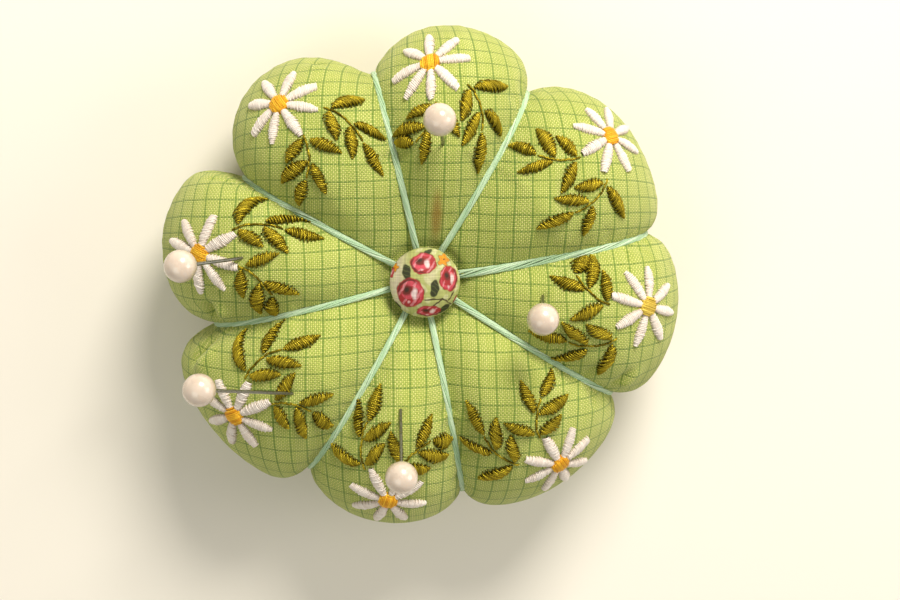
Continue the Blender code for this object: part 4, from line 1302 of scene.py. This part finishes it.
def make_button(name, side):
    """One button's printed cotton cover, gathered in underneath; side is 1 above and -1 below."""
    profile = button_profile()
    run = np.cumsum(np.hypot(*np.diff(profile, axis=0).T))
    radius, height = profile[1:].T
    turn = 2 * math.pi * np.arange(BUTTON_SEGMENTS) / BUTTON_SEGMENTS
    gathers = np.clip((run - 7.6) / 1.5, 0, 1)[:, None] * 0.1 * np.sin(turn * GATHERS)[None]
    soft = 0.03 * np.sin(turn * 5 + 1)[None] * np.clip(run - 4, 0, 3)[:, None] / 3
    base = BUTTON_SEAT_HEIGHT + BUTTON_LIFT
    points = np.empty((len(run), BUTTON_SEGMENTS, 3))
    points[..., :2] = (radius[:, None] + soft)[..., None] * rays(turn)[None]
    points[..., 2] = SEAM_Z + side * (base + height[:, None] + gathers)
    faces = grid_faces(len(run), BUTTON_SEGMENTS, side < 0).tolist()
    faces.append(list(range(BUTTON_SEGMENTS))[::side])
    cover = new_piece(f"printed_{name}_cover", points, faces, PRINT)
    flat = run[:, None, None] * rays(turn)[None]
    set_flat_uv(cover, flat)
    colours = cover.data.attributes.new("print", "FLOAT_COLOR", "POINT")
    colours.data.foreach_set("color", print_colours(flat[..., 0].ravel(), flat[..., 1].ravel()).ravel())
    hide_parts(f"{name}_button_cover")


make_button("top", 1)
make_button("bottom", -1)

# ---------------------------------------------------------------- pins


def turned(profile, segments):
    """Points and faces of a closed turned solid whose profile starts and ends on its axis."""
    ring = rays(2 * math.pi * np.arange(segments) / segments)
    points = [(0, 0, profile[0][1])]
    for radius, height in profile[1:-1]:
        points += [(radius * x, radius * y, height) for x, y in ring]
    points.append((0, 0, profile[-1][1]))
    faces = []
    last = len(points) - 1 - segments
    for step in range(segments):
        following = (step + 1) % segments
        faces.append([0, 1 + following, 1 + step])
        for start in range(1, last, segments):
            below = start + segments
            faces.append([start + step, start + following, below + following, below + step])
        faces.append([last + step, last + following, len(points) - 1])
    return np.array(points), faces


def pin_entry(x, y):
    """Where a pin meets the CAD model's cloth, in millimetres."""
    angle = (math.degrees(math.atan2(y, x)) - GROOVE_ANGLES[0]) % 360.0 + GROOVE_ANGLES[0]
    petal = max(step for step in range(PETALS) if GROOVE_ANGLES[step] <= angle)
    start, end = groove_angle(petal), groove_angle(petal + 1)
    across = 2 * (angle - start) / (end - start) - 1
    height = float(cloth_height(petal, across, np.array([math.hypot(x, y)]), False)[0])
    return Vector((x, y, SEAM_Z + height))


def shaft_profile(tip, end):
    """Radius and height along the shaft, from its ground point to its end inside the pearl."""
    point = [(0.0, tip), (0.05, tip + 0.12), (PIN_RADIUS * 0.62, tip + 1.4), (PIN_RADIUS, tip + PIN_GRIND)]
    drawn = [(PIN_RADIUS, height) for height in np.linspace(tip + PIN_GRIND + 1, end, 12)]
    return [*point, *drawn, (0.0, end)]


def pearl_profile(middle):
    """Radius and height over the pearl, from inside its small mouth round the shaft to its top."""
    mouth = middle - PEARL_RADIUS
    inside = [(0.0, mouth + 0.5), (PIN_RADIUS + 0.04, mouth + 0.5)]
    lip = [(PIN_RADIUS + 0.12, mouth - 0.02), (0.5, mouth - 0.05)]
    rounds = np.linspace(PEARL_MOUTH, math.pi, 33)[:-1]
    ball = [(PEARL_RADIUS * math.sin(turn), middle - PEARL_RADIUS * math.cos(turn)) for turn in rounds]
    return [*inside, *lip, *ball, (0.0, middle + PEARL_RADIUS)]


def make_pin(number):
    """A drawn steel shaft with a ground point, and its moulded pearl, both along +Z from the cloth."""
    entry = pin_entry(*PIN_ENTRIES[number])
    head = Vector(PIN_HEADS[number])
    stand = (head - entry).length
    upright = (head - entry).normalized().to_track_quat("Z", "Y").to_matrix()
    tip = stand + PIN_IN_HEAD - PIN_LENGTH
    shaft = shaft_profile(tip, stand + PIN_IN_HEAD - 0.1)
    parts = (
        ("drawn_shaft", shaft, 20, STEEL, "pin_steel", "pin_shaft"),
        ("moulded_pearl", pearl_profile(stand), 48, PEARL, "pearl", "pearl_head"),
    )
    for name, profile, segments, material, slot, node in parts:
        points, faces = turned(profile, segments)
        placed = points @ np.array(upright).T + np.array(entry)
        piece = new_piece(f"{name}_{number + 1}", placed, faces, material, f"pin_{number + 1}")
        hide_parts(f"{node}_{number + 1}")


for number in range(len(PIN_ENTRIES)):
    make_pin(number)

# ---------------------------------------------------------------- CAD nodes that stay

NODE_MATERIALS = {"seam_thread": SEWING, "button_tie": SEWING}
for side in ("top", "bottom"):
    for piece in ("shell", "back", "shank"):
        NODE_MATERIALS[f"{side}_button_{piece}"] = TIN
for name, material in NODE_MATERIALS.items():
    for material_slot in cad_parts[name].material_slots:
        material_slot.material = material

# ---------------------------------------------------------------- floor, light and camera


FLOOR_REACH = 1.5
# Lights as (name, place, size, power, colour), in metres and watts, all turned to the cushion's middle.
LIGHTS = (
    ("key", (0.16, 0.5, 0.44), 0.28, 5.3, (1.0, 0.965, 0.9)),
    ("fill", (-0.4, -0.3, 0.7), 0.6, 1.35, (0.94, 1.0, 0.91)),
    ("side", (0.6, 0.05, 0.4), 0.4, 1.35, (1.0, 0.97, 0.93)),
)
LIGHT_AIM = (0, 0, 0.02)
WORLD_COLOUR = (1.0, 0.975, 0.93, 1.0)
WORLD_STRENGTH = 0.38


def make_floor():
    """A square floor that the camera never sees the end of."""
    mesh = bpy.data.meshes.new("floor")
    corners = [(-FLOOR_REACH, -FLOOR_REACH, 0), (FLOOR_REACH, -FLOOR_REACH, 0)]
    corners += [(FLOOR_REACH, FLOOR_REACH, 0), (-FLOOR_REACH, FLOOR_REACH, 0)]
    mesh.from_pydata(corners, [], [(0, 1, 2, 3)])
    mesh.materials.append(pale_floor())
    floor = bpy.data.objects.new("floor", mesh)
    bpy.context.scene.collection.objects.link(floor)


def add_light(name, place, size, power, colour):
    """A round area light turned to the middle of the cushion."""
    light = bpy.data.lights.new(name, "AREA")
    light.shape = "DISK"
    light.size = size
    light.energy = power
    light.color = colour
    lamp = bpy.data.objects.new(name, light)
    lamp.location = place
    lamp.rotation_euler = (Vector(LIGHT_AIM) - Vector(place)).to_track_quat("-Z", "Y").to_euler()
    bpy.context.scene.collection.objects.link(lamp)


CAMERA_PLACE = Vector((-23.76, 53.51, 434.17)) * MM
CAMERA_AXIS = Vector((-0.0698, 0.1392, 0.9878))
CAMERA_LENS = 86.856


def make_camera():
    """A camera at the photograph's viewing angle, with its framing."""
    data = bpy.data.cameras.new("camera")
    data.lens = CAMERA_LENS
    data.sensor_width = 36.0
    data.clip_start = 0.01
    data.clip_end = 10.0
    camera = bpy.data.objects.new("camera", data)
    back = CAMERA_AXIS.normalized()
    right = Vector((0, 1, 0)).cross(back).normalized()
    up = back.cross(right)
    camera.matrix_world = Matrix.Translation(CAMERA_PLACE) @ Matrix((right, up, back)).transposed().to_4x4()
    bpy.context.scene.collection.objects.link(camera)
    bpy.context.scene.camera = camera


def make_world():
    """Even, faintly warm light from all round."""
    world = bpy.data.worlds.new("studio")
    world.use_nodes = True
    world.node_tree.nodes["Background"].inputs["Color"].default_value = WORLD_COLOUR
    world.node_tree.nodes["Background"].inputs["Strength"].default_value = WORLD_STRENGTH
    bpy.context.scene.world = world
    bpy.context.scene.view_settings.view_transform = "Standard"


make_floor()
for light in LIGHTS:
    add_light(*light)
make_world()
make_camera()
